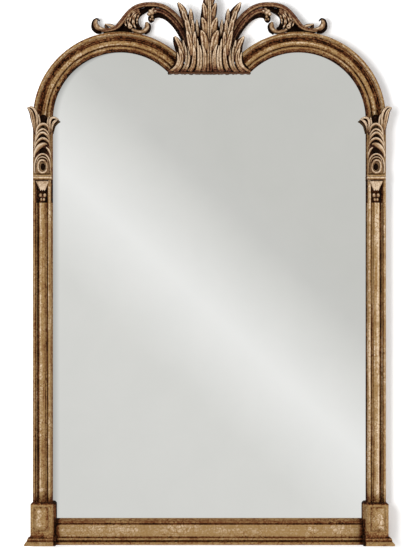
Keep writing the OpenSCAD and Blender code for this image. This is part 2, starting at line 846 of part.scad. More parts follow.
// Backboard of the crest: meets both arches, carries the arms on its shoulders and the leaves on its face
shoulder = [sin(arm_start_heading), -cos(arm_start_heading)];
arch_corner = [-arch_cx + r_out * cos(valley_angle), spring_h + r_out * sin(valley_angle)];
valley_corner = [-arch_cx + r_in * cos(valley_angle), valley_h];
shoulder_half = 10;
shoulder_low = [arm_start[0] - shoulder_half * shoulder[0], arm_start[1] - shoulder_half * shoulder[1]];
shoulder_high = [arm_start[0] + shoulder_half * shoulder[0], arm_start[1] + shoulder_half * shoulder[1]];

module backboard_outline() {
    half = [
        valley_corner, arch_corner, shoulder_low, shoulder_high, [-crest_board_top, valley_h + crest_board_h]
    ];
    polygon(concat(half, [for (k = [len(half) - 1 : -1 : 0]) [-half[k][0], half[k][1]]]));
}

module screw_shank(spot, grow, extra) {
    translate([spot[0], back_d + extra, valley_h + spot[1]])
        rotate([90, 0, 0])
            cylinder(r = crest_screw_d / 2 + grow, h = crest_screw_len + 2 * extra);
}

module crest_backboard() {
    color(dark_gold)
        difference() {
            upright(-crest_board_d, back_d) backboard_outline();
            glass_rebate();
            flat_points(crest_points, hole_fit);
            for (spot = centre_screws) screw_shank(spot, hole_fit, 1);
            for (side = [-1, 1])
                on_side(side) {
                    crest_dowel(hole_fit, hole_fit);
                    screw_shank(inner_screw, hole_fit, 1);
                    screw_shank(outer_screw, hole_fit, 1);
                }
        }
}

module leaf_place() {
    translate([0, -crest_board_d, valley_h]) children();
}

// Carved leaf. A station holds X and Z of a place on the spine, on the left edge and on the right edge. Rows of
// points run from the spine to both edges. The first intervals are the reeded foot. In each later one the edge
// swells out to the tip of a lobe, and the lobe stands in front of the next one.
lobe_rows = 5;
foot_rows = 2 * lobe_rows;
leaf_columns = 5;
reed_profile = [0.8, 1, 0.74, 0.97, 0.7, 0.92];
lobe_profile = [0.8, 1, 0.76, 0.68, 0.95, 0.72];
notch_reach = 0.6;
rib_reach = 0.2;

function row_phase(k) = (k % lobe_rows) / lobe_rows;
function lobe_reach(k) = k < foot_rows + 2 ? 1
    : notch_reach + (1 - notch_reach) * sqrt(sin(180 * pow(row_phase(k), 1.6)));
function column_reach(t, k, last) = k > last - 3 || t <= rib_reach ? t
    : rib_reach + (t - rib_reach) * (lobe_reach(k) - rib_reach) / (1 - rib_reach);
function lobe_height(i, p) =
    i < 2 ? lobe_profile[i] : lobe_profile[i] * (0.76 + 0.24 * p) + (i == leaf_columns ? 0.26 * sin(180 * p) : 0);
function column_height(i, k) = let (p = row_phase(k), blend = (k - foot_rows) / lobe_rows)
    blend <= 0 ? reed_profile[i]
    : blend < 1 ? (1 - blend) * reed_profile[i] + blend * lobe_height(i, p)
    : lobe_height(i, p);
function leaf_spot(row, reach, side) = let (e = side < 0 ? 2 : 4)
    [row[0] + reach * (row[e] - row[0]), row[1] + reach * (row[e + 1] - row[1])];

module carved_leaf(stations, front, thinning) {
    rows = curve(stations, lobe_rows);
    last = len(rows) - 1;
    m = leaf_columns;
    n = 2 * m + 4;
    points = [
        for (k = [0 : last]) each concat(
            [
                for (i = [-m : m]) let (
                    q = leaf_spot(rows[k], column_reach(abs(i) / m, k, last), i),
                    h = front * (1 - thinning * k / last) * column_height(abs(i), k)
                ) [q[0], -h, q[1]]
            ],
            [
                for (i = [-m, 0, m]) let (q = leaf_spot(rows[k], column_reach(abs(i) / m, k, last), i))
                    [q[0], 0, q[1]]
            ]
        )
    ];
    face = [
        for (k = [0 : last - 1], i = [0 : 2 * m - 1]) let (a = k * n + i, b = a + 1, c = a + n, d = c + 1)
            each i < m ? [[a, c, d], [a, d, b]] : [[a, c, b], [b, c, d]]
    ];
    rear = [
        for (k = [0 : last - 1], i = [2 * m + 1, 2 * m + 2]) let (a = k * n + i, b = a + 1, c = a + n, d = c + 1)
            each [[a, d, c], [a, b, d]]
    ];
    left_wall = [
        for (k = [0 : last - 1]) let (f = k * n, r = f + 2 * m + 1)
            each [[r, r + n, f + n], [r, f + n, f]]
    ];
    right_wall = [
        for (k = [0 : last - 1]) let (f = k * n + 2 * m, r = f + 3)
            each [[r, f + n, r + n], [r, f, f + n]]
    ];
    foot = concat(
        [[2 * m + 2, 2 * m + 1, 0], [2 * m + 2, 2 * m, 2 * m + 3]],
        [for (i = [0 : 2 * m - 1]) [2 * m + 2, i, i + 1]]
    );
    tip = [for (t = foot) [last * n + t[0], last * n + t[2], last * n + t[1]]];
    polyhedron(points, concat(face, rear, left_wall, right_wall, foot, tip));
}

// Thickness of each leaf at its foot, and how much of it is lost towards the tip
centre_leaf_d = 22;
inner_leaf_d = 19;
outer_leaf_d = 16;
tall_thinning = 0.6;
low_thinning = 0.5;
leaf_hole_fit = hole_fit + 0.05;

// The lowest part of a leaf keeps its height, the rest is drawn up to the wanted height
reed_top = 30;
function drawn_up(stations, height) = let (
    top = stations[len(stations) - 1][1], factor = (height - reed_top) / (top - reed_top)
) [
    for (s = stations) [for (j = [0 : 5]) j % 2 == 0 || s[j] <= reed_top ? s[j] : reed_top + (s[j] - reed_top) * factor]
];

function both_sides(x, z, edge_x, edge_z) = [x, z, x - edge_x, edge_z, x + edge_x, edge_z];
centre_stations = [
    both_sides(0, 0, 23.8, 0), both_sides(0, 9, 19, 14), both_sides(0, 28, 17.4, 50), both_sides(0, 54, 18.4, 82),
    both_sides(0, 80, 19, 108), both_sides(0, 105, 17.4, 132), both_sides(0, 131, 12, 154), both_sides(0, 167, 0.8, 168)
];
module crest_centre_leaf() {
    color(pale_gold)
        difference() {
            leaf_place() carved_leaf(drawn_up(centre_stations, centre_leaf_h), centre_leaf_d, tall_thinning);
            for (spot = centre_screws) screw_shank(spot, leaf_hole_fit, hole_fit);
        }
}

inner_stations = [
    [-38, 0, -50.6, 0, -24.4, 0], [-31.5, 9, -42.8, 14, -20.2, 14], [-27, 28, -38.8, 44, -19.4, 48],
    [-29, 50, -43, 66, -21.4, 72], [-33.2, 72, -47.5, 88, -22.8, 94], [-37, 93, -51.5, 106, -27, 113],
    [-42.5, 112, -57, 121, -36.5, 128], [-57, 132, -57.6, 131, -56.2, 132.8]
];
module inner_leaf() {
    color(gold)
        difference() {
            leaf_place() carved_leaf(drawn_up(inner_stations, inner_leaf_h), inner_leaf_d, tall_thinning);
            screw_shank(inner_screw, leaf_hole_fit, hole_fit);
        }
}

outer_stations = [
    [-65, 0, -palmette_half, 0, -51.4, 0], [-56.5, 8, -68, 12, -44.2, 13], [-51, 22, -62.5, 33, -41.2, 34],
    [-53, 38, -66, 48, -44.4, 51], [-58, 52, -68.5, 61, -51, 64], [-65, 70, -65.8, 69.6, -64.2, 70.6]
];
module outer_leaf() {
    color(gold)
        difference() {
            leaf_place() carved_leaf(drawn_up(outer_stations, outer_leaf_h), outer_leaf_d, low_thinning);
            screw_shank(outer_screw, leaf_hole_fit, hole_fit);
            outer_leaf_arch_space();
        }
}

// The arch mouldings stand prouder than the backboard, so the outer leaf is cut to lie on them
module outer_leaf_arch_space() {
    translate([-arch_cx, 0, spring_h])
        rotate([90, 0, 0])
            rotate([0, 0, valley_angle])
                rotate_extrude(angle = 40, $fn = 144)
                    translate([r_in - 4, -1])
                        square([mould_w + 4.2, front_d + 1 + 1 + seam]);
}

// Glass and the board behind it
module mirror_glass() {
    color([0.78, 0.8, 0.8])
        upright(0, glass_t) glass_outline(0);
}

module backing_board() {
    color([0.45, 0.35, 0.25])
        upright(glass_t, board_back) glass_outline(0);
}

module retaining_points() {
    color(steel) {
        flat_points(rail_points, 0);
        flat_points(crest_points, 0);
        for (side = [-1, 1])
            on_side(side) {
                flat_points(stile_points, 0);
                flat_points(arch_points, 0);
            }
    }
}

module frame_dowels() {
    color(bare_wood)
        for (side = [-1, 1])
            on_side(side) {
                upright_dowels(plinth_h, 0, 0);
                upright_dowels(spring_h, 0, 0);
                rail_dowels(0, 0);
            }
}

module crest_dowels() {
    color(bare_wood)
        for (side = [-1, 1])
            on_side(side) crest_dowel(0, 0);
}

module crest_screw(spot) {
    screw_shank(spot, 0, 0);
    translate([spot[0], back_d + screw_head_t, valley_h + spot[1]])
        rotate([90, 0, 0])
            cylinder(r = screw_head_r, h = screw_head_t);
}

module crest_screws() {
    color(steel) {
        for (spot = centre_screws) crest_screw(spot);
        for (side = [-1, 1])
            on_side(side) {
                crest_screw(inner_screw);
                crest_screw(outer_screw);
            }
    }
}

// Hanger: a strap that is rolled into a barrel round the straight wire of the ring
module hanger_strap() {
    color(steel)
        difference() {
            union() {
                translate([-hanger_x - strap_w / 2, back_d, hanger_h - strap_len])
                    cube([strap_w, strap_t, strap_len]);
                translate([-hanger_x - barrel_len / 2, barrel_y, hanger_h])
                    rotate([0, 90, 0])
                        cylinder(r = barrel_r, h = barrel_len);
            }
            translate([-hanger_x - big / 2, barrel_y, hanger_h])
                rotate([0, 90, 0])
                    cylinder(r = wire_r + wire_fit, h = big);
            for (drop = hanger_screw_drops)
                translate([-hanger_x, back_d + strap_t + 1, hanger_h - drop])
                    rotate([90, 0, 0])
                        cylinder(r = hanger_screw_d / 2 + hole_fit, h = strap_t + 2);
        }
}

module hanger_ring() {
    color(steel)
        translate([-hanger_x, barrel_y, hanger_h])
            union() {
                translate([-ring_half, 0, 0]) rotate([0, 90, 0]) cylinder(r = wire_r, h = 2 * ring_half);
                for (side = [-1, 1]) {
                    translate([side * ring_half, 0, 0]) sphere(wire_r);
                    translate([side * ring_half, 0, -ring_side]) cylinder(r = wire_r, h = ring_side);
                }
                translate([0, 0, -ring_side])
                    rotate([-90, 0, 0])
                        rotate_extrude(angle = 180)
                            translate([ring_half, 0])
                                circle(wire_r);
            }
}

module hanger_screws() {
    color(steel)
        for (side = [-1, 1], drop = hanger_screw_drops)
            translate([side * hanger_x, back_d, hanger_h - drop])
                rotate([90, 0, 0]) {
                    cylinder(r = hanger_screw_d / 2, h = hanger_screw_len - 1);
                    translate([0, 0, -strap_t - 2]) cylinder(r = hanger_screw_d, h = 2);
                    translate([0, 0, -strap_t - 0.5]) cylinder(r = hanger_screw_d / 2, h = strap_t + 1);
                }
}

bumper_z = (rail_h + plinth_h) / 2 - 10;
module wall_bumpers() {
    color([0.2, 0.2, 0.2])
        for (side = [-1, 1])
            translate([side * stile_cx, wall_y, bumper_z])
                rotate([90, 0, 0])
                    cylinder(r = bumper_d / 2, h = wall_y - back_d);
}

on_side(-1) stile();  // left_stile
on_side(1) stile();  // right_stile
base_rail();
on_side(-1) arch();  // left_arch
on_side(1) arch();  // right_arch
crest_backboard();
on_side(-1) plinth_block();  // left_plinth_block
on_side(1) plinth_block();  // right_plinth_block
on_side(-1) plinth_panel();  // left_plinth_panel
on_side(1) plinth_panel();  // right_plinth_panel
on_side(-1) plinth_foot();  // left_plinth_foot
on_side(1) plinth_foot();  // right_plinth_foot
on_side(-1) console_scroll();  // left_console_scroll
on_side(1) console_scroll();  // right_console_scroll
on_side(-1) console_leaf();  // left_console_leaf
on_side(1) console_leaf();  // right_console_leaf
on_side(-1) console_ledge();  // left_console_ledge
on_side(1) console_ledge();  // right_console_ledge
on_side(-1) husk_drop();  // left_husk_drop
on_side(1) husk_drop();  // right_husk_drop
crest_centre_leaf();
on_side(-1) inner_leaf();  // crest_left_inner_leaf
on_side(1) inner_leaf();  // crest_right_inner_leaf
on_side(-1) outer_leaf();  // crest_left_outer_leaf
on_side(1) outer_leaf();  // crest_right_outer_leaf
on_side(-1) scroll_arm();  // left_scroll_arm
on_side(1) scroll_arm();  // right_scroll_arm
on_side(-1) scroll_bud();  // left_scroll_bud
on_side(1) scroll_bud();  // right_scroll_bud
on_side(-1) scroll_band();  // left_scroll_band
on_side(1) scroll_band();  // right_scroll_band
on_side(-1) scroll_leaf();  // left_scroll_leaf
on_side(1) scroll_leaf();  // right_scroll_leaf
mirror_glass();
backing_board();
retaining_points();
frame_dowels();
crest_dowels();
crest_screws();
on_side(-1) hanger_strap();  // left_hanger_strap
on_side(1) hanger_strap();  // right_hanger_strap
on_side(-1) hanger_ring();  // left_hanger_ring
on_side(1) hanger_ring();  // right_hanger_ring
hanger_screws();
wall_bumpers();
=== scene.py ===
"""A gilt wall mirror with arches, plinth blocks, consoles and a carved crest, dressed over its solids."""

import math

import bmesh
import bpy
from bpy.props import FloatProperty, FloatVectorProperty, PointerProperty
from mathutils import Matrix, Vector


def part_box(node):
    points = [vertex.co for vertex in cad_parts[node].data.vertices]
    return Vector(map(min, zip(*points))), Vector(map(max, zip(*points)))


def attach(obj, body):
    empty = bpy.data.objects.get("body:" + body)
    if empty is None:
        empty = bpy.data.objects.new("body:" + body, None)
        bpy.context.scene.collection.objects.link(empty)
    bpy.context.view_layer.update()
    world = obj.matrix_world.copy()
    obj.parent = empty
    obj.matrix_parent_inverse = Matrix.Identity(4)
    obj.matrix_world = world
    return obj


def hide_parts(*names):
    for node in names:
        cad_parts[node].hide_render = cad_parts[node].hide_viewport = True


bl_info = {
    "name": "Gilt Wall Mirror",
    "version": (1, 0, 0),
    "blender": (4, 5, 0),
    "location": "3D View > Sidebar > Mirror",
    "description": "Carving, gilding and glass for a wall mirror with two arches",
    "category": "Object",
}

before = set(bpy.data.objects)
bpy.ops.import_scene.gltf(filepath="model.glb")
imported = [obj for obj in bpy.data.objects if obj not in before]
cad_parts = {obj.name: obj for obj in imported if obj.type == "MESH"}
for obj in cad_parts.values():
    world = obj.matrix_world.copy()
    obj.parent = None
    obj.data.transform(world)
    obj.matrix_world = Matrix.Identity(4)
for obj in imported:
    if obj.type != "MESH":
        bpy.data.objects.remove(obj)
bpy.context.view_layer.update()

# Places on the solids, in millimetres where the carving needs them and in metres elsewhere
BOARD_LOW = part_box("crest_backboard")[0]
LEDGE_LOW, LEDGE_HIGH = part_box("left_console_ledge")
VALLEY = BOARD_LOW[2] * 1000
BOARD_FRONT = BOARD_LOW[1] * 1000
STILE_X = (LEDGE_LOW[0] + LEDGE_HIGH[0]) * 500
LEDGE_TOP = LEDGE_HIGH[2] * 1000
CONSOLE_BACK = -12.5
SIGHT_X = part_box("right_stile")[0][0]
SPRING_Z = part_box("right_arch")[0][2]
ARCH_X = 0.1675
ARCH_RADIUS = SIGHT_X - ARCH_X
MOULDING_WIDTH = 0.037
STILE_SPAN = (0.294, 0.331)
RAIL_TOP = 0.049
BLOCK_TOP = 0.080
POCKET_SPAN = (0.64, 0.642)
HEAD_SPAN = (0.6845, 0.6855)
LEDGE_SPAN = (0.684, 0.692)
MOULDING_BACK = (0.0085, 0.0098)
GLASS_BACK = (0.0002, 0.0012)
POCKET_GROUND = -10.5
CONSOLE_HEIGHT = 92
LEFT_TO_RIGHT = (-0.1, 0.1)
SIDES = (("left", -1), ("right", 1))

# The camera stands where the picture was taken from: metres for a pixel, and the place of the mirror's foot
PIXEL = 0.00188
PICTURE_WIDTH, PICTURE_HEIGHT = 420, 560
MIDDLE_COLUMN, FOOT_ROW = 209.3, 544.1
SENSOR = 24
WALL_Y = 0.0165
FLOOR_Z = -1.15
LAMP_AIM = Vector((0, 0, 0.55))


def linear(red, green, blue):
    """A colour as it is read off a print, from 0 to 255, turned into the scene's own values."""
    values = []
    for part in (red, green, blue):
        share = part / 255
        values.append(share / 12.92 if share <= 0.04045 else ((share + 0.055) / 1.055) ** 2.4)
    return (*values, 1.0)


def tint(name, description, *tone):
    """A colour setting with its first tone."""
    return FloatVectorProperty(
        name=name, description=description, subtype="COLOR", size=4, default=linear(*tone), min=0, max=1
    )


def measure(name, description, default, low, high, unit="LENGTH"):
    """A number setting with its first value and its range."""
    return FloatProperty(name=name, description=description, default=default, min=low, max=high, unit=unit)


class GiltFinish(bpy.types.PropertyGroup):
    """Colours of the aged gilding"""

    pale: tint("Rubbed gold", "Colour of edges that are rubbed pale", 238, 212, 182)
    gold: tint("Old gold", "Colour of the flats", 164, 130, 82)
    brown: tint("Brown size", "Colour of the hollows", 104, 58, 31)
    soft_gold: tint("Soft gold", "Colour of the carving between hollow and rubbed edge", 160, 126, 88)
    rose: tint("Rose size", "Colour of the hollows of the carving", 92, 54, 38)
    # Patina is also the colour of the painted shade: the dark strands and knobs of the carving
    dark: tint("Patina", "Colour of the deepest cuts", 20, 9, 4)


class CarvingSizes(bpy.types.PropertyGroup):
    """Depths of the carving"""

    leaf_relief: measure("Leaf relief", "Reach of the lowest lobes before the backboard", 0.021, 0.01, 0.023)


class StudioSettings(bpy.types.PropertyGroup):
    """Camera and light"""

    distance: measure("Camera distance", "From the face of the glass", 4.5, 1.5, 8)
    height: measure("Camera height", "Above the feet", 0.42, 0, 1.2)
    side: measure("Camera side", "To the right of the middle", -0.05, -0.5, 0.5)
    key_power: measure("Key light", "Power of the large lamp at the upper left", 40, 0, 500, "POWER")
    fill: measure("Room light", "Strength of the even light from all sides", 0.5, 0, 2, "NONE")


def between(a, b, c, d, t):
    """Smooth curve through b and c, number by number."""
    return tuple(
        0.5 * (2 * q + (r - p) * t + (2 * p - 5 * q + 4 * r - s) * t * t + (3 * q - p - 3 * r + s) * t ** 3)
        for p, q, r, s in zip(a, b, c, d)
    )


def beyond(end, before):
    """A point as far past the end of a curve as the one before lies inside it."""
    return tuple(2 * p - q for p, q in zip(end, before))


def along(points, share):
    """The place at a share of a curve through all the points."""
    last = len(points) - 1
    spot = min(max(share, 0.0), 1.0) * last
    k = min(int(spot), last - 1)
    first = points[k - 1] if k else beyond(points[0], points[1])
    final = points[k + 2] if k + 2 <= last else beyond(points[last], points[last - 1])
    return between(first, points[k], points[k + 1], final, spot - k)


def across(points, share, step=0.02):
    """The direction square to a curve, seen from the front."""
    ahead, behind = along(points, min(share + step, 1)), along(points, max(share - step, 0))
    run = Vector((ahead[0] - behind[0], 0, ahead[1] - behind[1])).normalized()
    return Vector((-run.z, 0, run.x))


def ease(low, high, value):
    """A smooth step from 0 at low to 1 at high."""
    share = min(max((value - low) / (high - low), 0.0), 1.0)
    return share * share * (3 - 2 * share)


def bell_curve(value, width):
    """1 where the value is 0, and falling off within the width on both sides."""
    return math.exp(-((value / width) ** 2))


def rim_of(verts):
    """The open edges at some points of a mesh."""
    return list({edge for vert in verts for edge in vert.link_edges if edge.is_boundary})


class Carving:
    """A piece of carving, worked in millimetres on the left, and turned over for the right by the sign 1.

    Each point keeps its relief: 0 in a deep cut, 1 on a rubbed edge."""

    def __init__(self, sign=-1):
        self.sign = sign
        self.bm = bmesh.new()
        self.relief = self.bm.verts.layers.float.new("relief")

    def bent_grid(self, columns, rows, place):
        """A grid whose points are moved by place(u, v), which gives the spot and its relief."""
        made = bmesh.ops.create_grid(self.bm, x_segments=columns, y_segments=rows, size=0.5)["verts"]
        for vert in made:
            vert.co, vert[self.relief] = place(vert.co.x + 0.5, vert.co.y + 0.5)
        return made

    def close(self, verts, dist=0.02):
        """Joins the seam of a tube and closes its ends."""
        bmesh.ops.remove_doubles(self.bm, verts=verts, dist=dist)
        left = [v for v in verts if v.is_valid]
        rim = rim_of(left)
        if rim:
            bmesh.ops.holes_fill(self.bm, edges=rim, sides=0)

    def back_up(self, verts, back, middle=None, splay=0.0, floor=None):
        """Runs the rim of a carved face back to the ground behind it and closes it there."""
        skirt = bmesh.ops.extrude_edge_only(self.bm, edges=rim_of(verts))["geom"]
        low = [v for v in skirt if isinstance(v, bmesh.types.BMVert)]
        for vert in low:
            if splay:
                vert.co += Vector((vert.co.x - middle.x, 0, vert.co.z - middle.z)).normalized() * splay
            vert.co.y = back
            vert[self.relief] = 0.0
            if floor is not None and vert.co.z < floor + 0.1:
                vert.co.z = floor
                vert[self.relief] = 0.28
        bmesh.ops.holes_fill(self.bm, edges=rim_of(low), sides=0)

    def tube(self, path, section, rings, sides, y=None, deep=None):
        """A tube along (x, z, half width), or (x, z, y, half width, half depth) off its own y and deep.

        section(turn, share) gives sideways, forward and relief."""
        path = [point if len(point) == 5 else (*point[:2], y, point[2], deep) for point in path]

        def place(u, v):
            x, z, middle, half, reach = along(path, v)
            sideways, forward, relief = section(2 * math.pi * u, v)
            spot = Vector((x, middle - reach * forward, z)) + across(path, v, 0.01) * (half * sideways)
            return spot, relief

        self.close(self.bent_grid(sides, rings, place))

    def finger(
        self, path, heights, back=BOARD_FRONT, rows=14, curl=1.5, vein=0.5, floor=None, base=0.36, splay=1.4,
        tone=0.0, streak=0.14, knots=0,
    ):
        """A finger of a leaf along (x, z, half width): a ridge with a vein, rubbed pale near its rims."""
        low, high = heights

        def place(u, v):
            t = 2 * u - 1
            x, z, half = along(path, v)
            ridge = math.sqrt(max(1 - 0.96 * t * t, 0))
            sunk = bell_curve(t, 0.2) * vein * (0.4 + 0.6 * math.sin(math.pi * v))
            rise = low + (high - low) * v + curl * ease(0.6, 1.0, v) * (1 - 0.4 * ease(0.94, 1, v))
            rise -= min(half, 5) * 0.75 * (1 - ridge) + sunk
            lump = math.cos(2 * math.pi * knots * v - 3 * abs(t)) if knots else 0.0
            spot = Vector((x, back - rise - 0.7 * lump, z)) + across(path, v) * (half * t)
            if floor is not None:
                spot.z = max(spot.z, floor)
            wide = ease(3.2, 5.2, half)
            grain = (streak + 0.1 * wide) * math.cos(3 * math.pi * t + 5 * v)
            level = 0.78 - 0.16 * wide * (1 - ease(0.25, 0.62, abs(t))) - 0.2 * wide * sunk / max(vein, 0.1)
            level += grain + 0.3 * lump
            relief = level * (base + (1 - base) * ease(0.0, 0.26, v)) + 0.1 * ease(0.6, 0.9, v) + tone
            relief *= 1 - ease(0.57, 0.78, abs(t))
            if floor is not None:
                relief = max(relief, (0.36 - 0.12 * abs(t)) * (1 - ease(1, 4, z - floor)))
            return spot, relief

        verts = self.bent_grid(12, rows, place)
        x, z, half = along(path, 0.5)
        self.back_up(verts, back, Vector((x, 0, z)), splay, floor)

    def bed(self, path, low, high):
        """The dark ground of a leaf between its fingers, along (x, z over the valley, half width)."""
        path = [(x, VALLEY + z, half) for x, z, half in path]

        def place(u, v):
            t = 2 * u - 1
            x, z, half = along(path, v)
            y = BOARD_FRONT - low - (high - low) * v + 1.5 * t * t
            return Vector((x + half * t, y, max(z, VALLEY))), 0.08

        self.back_up(self.bent_grid(6, 16, place), BOARD_FRONT, floor=VALLEY)

    def lobes(self, fingers, base=0, mirrored=False, rows=None, **form):
        """Fingers, each with its heights over the base at root and tip and its path over the valley."""
        for low, high, path in fingers:
            for sign in (-1, 1) if mirrored else (1,):
                path_here = [(-sign * x, VALLEY + z, half) for x, z, half in path]
                heights = base + low, base + high
                self.finger(path_here, heights, floor=VALLEY, rows=rows or 5 * len(path) - 4, **form)

    def ball(self, centre, size, relief=0.85):
        """A knob, squeezed by its three half sizes."""
        made = bmesh.ops.create_uvsphere(self.bm, u_segments=16, v_segments=10, radius=1.0)["verts"]
        for vert in made:
            vert[self.relief] = relief * (0.3 + 0.7 * max(-vert.co.y, 0.0) + 0.2 * vert.co.z)
            vert.co = Vector(centre) + vert.co * Vector(size)

    def finish(self, name, material, node):
        """Turns the carving into a piece that stands for its solid."""
        bm = self.bm
        if self.sign > 0:
            bmesh.ops.scale(bm, vec=(-1, 1, 1), verts=bm.verts)
        bmesh.ops.scale(bm, vec=(0.001, 0.001, 0.001), verts=bm.verts)
        bmesh.ops.recalc_face_normals(bm, faces=bm.faces)
        for face in bm.faces:
            face.smooth = True
        piece = shown(name, bm, material)
        round_off = piece.modifiers.new("Round off", "SUBSURF")
        round_off.levels = round_off.render_levels = 1
        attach(piece, "frame")
        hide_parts(node)


def placed(name, data):
    """A new object in the scene."""
    made = bpy.data.objects.new(name, data)
    bpy.context.scene.collection.objects.link(made)
    return made


def shown(name, bm, material):
    """A new object that shows a worked mesh in one material."""
    mesh = bpy.data.meshes.new(name)
    bm.to_mesh(mesh)
    bm.free()
    mesh.materials.append(material)
    return placed(name, mesh)


def carve_sides(gilt, *pieces):
    """Carves pieces on both sides, from the name, the solid and the work of each."""
    for side, sign in SIDES:
        for name, solid, work in pieces:
            carving = Carving(sign)
            work(carving)
            carving.finish(f"{name.format(side)}_carved", gilt, solid.format(side))


def feed(tree, socket, value):
    """Links a value into a socket, or sets the socket to a plain number or colour."""
    if isinstance(value, Value):
        value = value.socket
    if isinstance(value, bpy.types.NodeSocket):
        tree.links.new(value, socket)
    else:
        socket.default_value = value


def node_of(tree, kind, inputs=(), **settings):
    """A new node with its settings, and its inputs fed in order or by name."""
    node = tree.nodes.new(kind)
    for key, value in settings.items():
        setattr(node, key, value)
    for key, value in inputs.items() if isinstance(inputs, dict) else enumerate(inputs):
        feed(tree, node.inputs[key], value)
    return node


class Value:
    """A number that runs through a node tree and is worked on with the usual signs."""

    def __init__(self, tree, socket):
        self.tree, self.socket = tree, socket

    def math(self, operation, *values, clamp=False):
        """One maths node over the values."""
        node = node_of(self.tree, "ShaderNodeMath", values, operation=operation, use_clamp=clamp)
        return Value(self.tree, node.outputs[0])

    def __add__(self, other):
        return self.math("ADD", self, other)

    def __sub__(self, other):
        return self.math("SUBTRACT", self, other)

    def __rsub__(self, other):
        return self.math("SUBTRACT", other, self)

    def __mul__(self, other):
        return self.math("MULTIPLY", self, other)

    def __abs__(self):
        return self.math("ABSOLUTE", self)

    def root(self):
        """Its square root."""
        return self.math("SQRT", self)

    def at_least(self, other):
        """The larger of the two."""
        return self.math("MAXIMUM", self, other)

    def ranged(self, low, high, to_low=0.0, to_high=1.0, smooth=True):
        """What lies between low and high, spread between the two new ends."""
        inputs = {"Value": self, "From Min": low, "From Max": high, "To Min": to_low, "To Max": to_high}
        kind = "SMOOTHSTEP" if smooth else "LINEAR"
        node = node_of(self.tree, "ShaderNodeMapRange", inputs, interpolation_type=kind)
        return Value(self.tree, node.outputs["Result"])

    def ramp(self, stops):
        """A colour along the value, from (place, colour) pairs."""
        node = node_of(self.tree, "ShaderNodeValToRGB", [self])
        elements = node.color_ramp.elements
        for index, (spot, colour) in enumerate(stops):
            element = elements[index] if index < 2 else elements.new(spot)
            element.position = spot
            element.color = colour
        return Value(self.tree, node.outputs["Color"])

    def bands(self, low, high, stops):
        """Levels across a section from low to high, from (share, level) pairs in hundredths."""
        stops = [(spot / 100, (*[level / 100] * 3, 1)) for spot, level in stops]
        return self.ranged(low, high, smooth=False).ramp(stops)


def mix_colour(tree, share, first, second):
    """The second colour over the first, by a share."""
    inputs = {"Factor": share, 6: first, 7: second}
    return node_of(tree, "ShaderNodeMix", inputs, data_type="RGBA").outputs[2]


def noise(tree, vector, scale, detail=4.0, roughness=0.6, distortion=0.0):
    """Cloudy noise around 0.5."""
    node = node_of(tree, "ShaderNodeTexNoise", {
        "Vector": vector, "Scale": scale, "Detail": detail, "Roughness": roughness, "Distortion": distortion
    })
    return Value(tree, node.outputs["Fac"])


def apart(tree, vector):
    """The three numbers of a vector."""
    return [Value(tree, socket) for socket in node_of(tree, "ShaderNodeSeparateXYZ", [vector]).outputs]


def own_place(tree):
    """The place on the piece, from its own coordinates."""
    return node_of(tree, "ShaderNodeTexCoord").outputs["Object"]


def new_material(name):
    """A new material with its node tree."""
    material = bpy.data.materials.new(name)
    material.use_nodes = True
    return material, material.node_tree


def surface(tree, inputs, height=None, strength=0.0, depth=0.0):
    """Feeds the surface of a material, and bumps it by a height."""
    skin = tree.nodes["Principled BSDF"]
    if height is not None:
        bump = node_of(tree, "ShaderNodeBump", {"Strength": strength, "Distance": depth, "Height": height})
        inputs["Normal"] = bump.outputs[0]
    for name, value in inputs.items():
        feed(tree, skin.inputs[name], value)


def aged_gilding_group():
    """Gold leaf over brown size: rubbed pale on what stands high, dark in cuts, crackled and speckled."""
    group = bpy.data.node_groups.get("Aged gilding")
    if group:
        return group
    group = bpy.data.node_groups.new("Aged gilding", "ShaderNodeTree")
    for way, kind, names in (
        ("INPUT", "NodeSocketFloat", ("Relief", "Mottle", "Crackle")),
        ("INPUT", "NodeSocketColor", ("Pale", "Gold", "Brown", "Dark")),
        ("OUTPUT", "NodeSocketColor", ("Color",)),
        ("OUTPUT", "NodeSocketFloat", ("Roughness", "Metallic", "Height")),
    ):
        for name in names:
            group.interface.new_socket(name=name, in_out=way, socket_type=kind)
    given = node_of(group, "NodeGroupInput").outputs
    place = own_place(group)
    patches = noise(group, place, 34, 4, 0.6, 0.4)
    specks = noise(group, place, 300, 5, 0.7)
    streaks = noise(group, place, 110, 3, 0.6, 1.2)
    warp = node_of(group, "ShaderNodeTexNoise", {"Vector": place, "Scale": 60}).outputs["Color"]
    bent = node_of(group, "ShaderNodeVectorMath", operation="MULTIPLY_ADD")
    for socket, value in zip(bent.inputs, (warp, (0.009, 0.009, 0.009), place)):
        feed(group, socket, value)
    inputs = {"Vector": bent.outputs[0], "Scale": 105}
    cells = node_of(group, "ShaderNodeTexVoronoi", inputs, feature="DISTANCE_TO_EDGE").outputs["Distance"]
    lines = Value(group, cells).ranged(0.015, 0.085, 1.0, 0.0)
    crack = lines * patches.ranged(0.38, 0.6) * given["Crackle"]
    uneven = (patches - 0.5) + (specks - 0.5) * 1.5 + (streaks - 0.5) * 0.7
    level = uneven * given["Mottle"] + given["Relief"]
    level = level.math("SUBTRACT", level, crack * 0.45, clamp=True)
    colour = mix_colour(group, level.ranged(0.03, 0.27), given["Dark"], given["Brown"])
    colour = mix_colour(group, level.ranged(0.24, 0.55), colour, given["Gold"])
    colour = mix_colour(group, level.ranged(0.58, 0.95), colour, given["Pale"])
    node_of(group, "NodeGroupOutput", {
        "Color": colour, "Roughness": level.ranged(0.1, 0.9, 0.72, 0.36),
        "Metallic": level.ranged(0.2, 0.8, 0.05, 0.5), "Height": specks + streaks * 0.8 - crack * 0.9,
    })
    return group


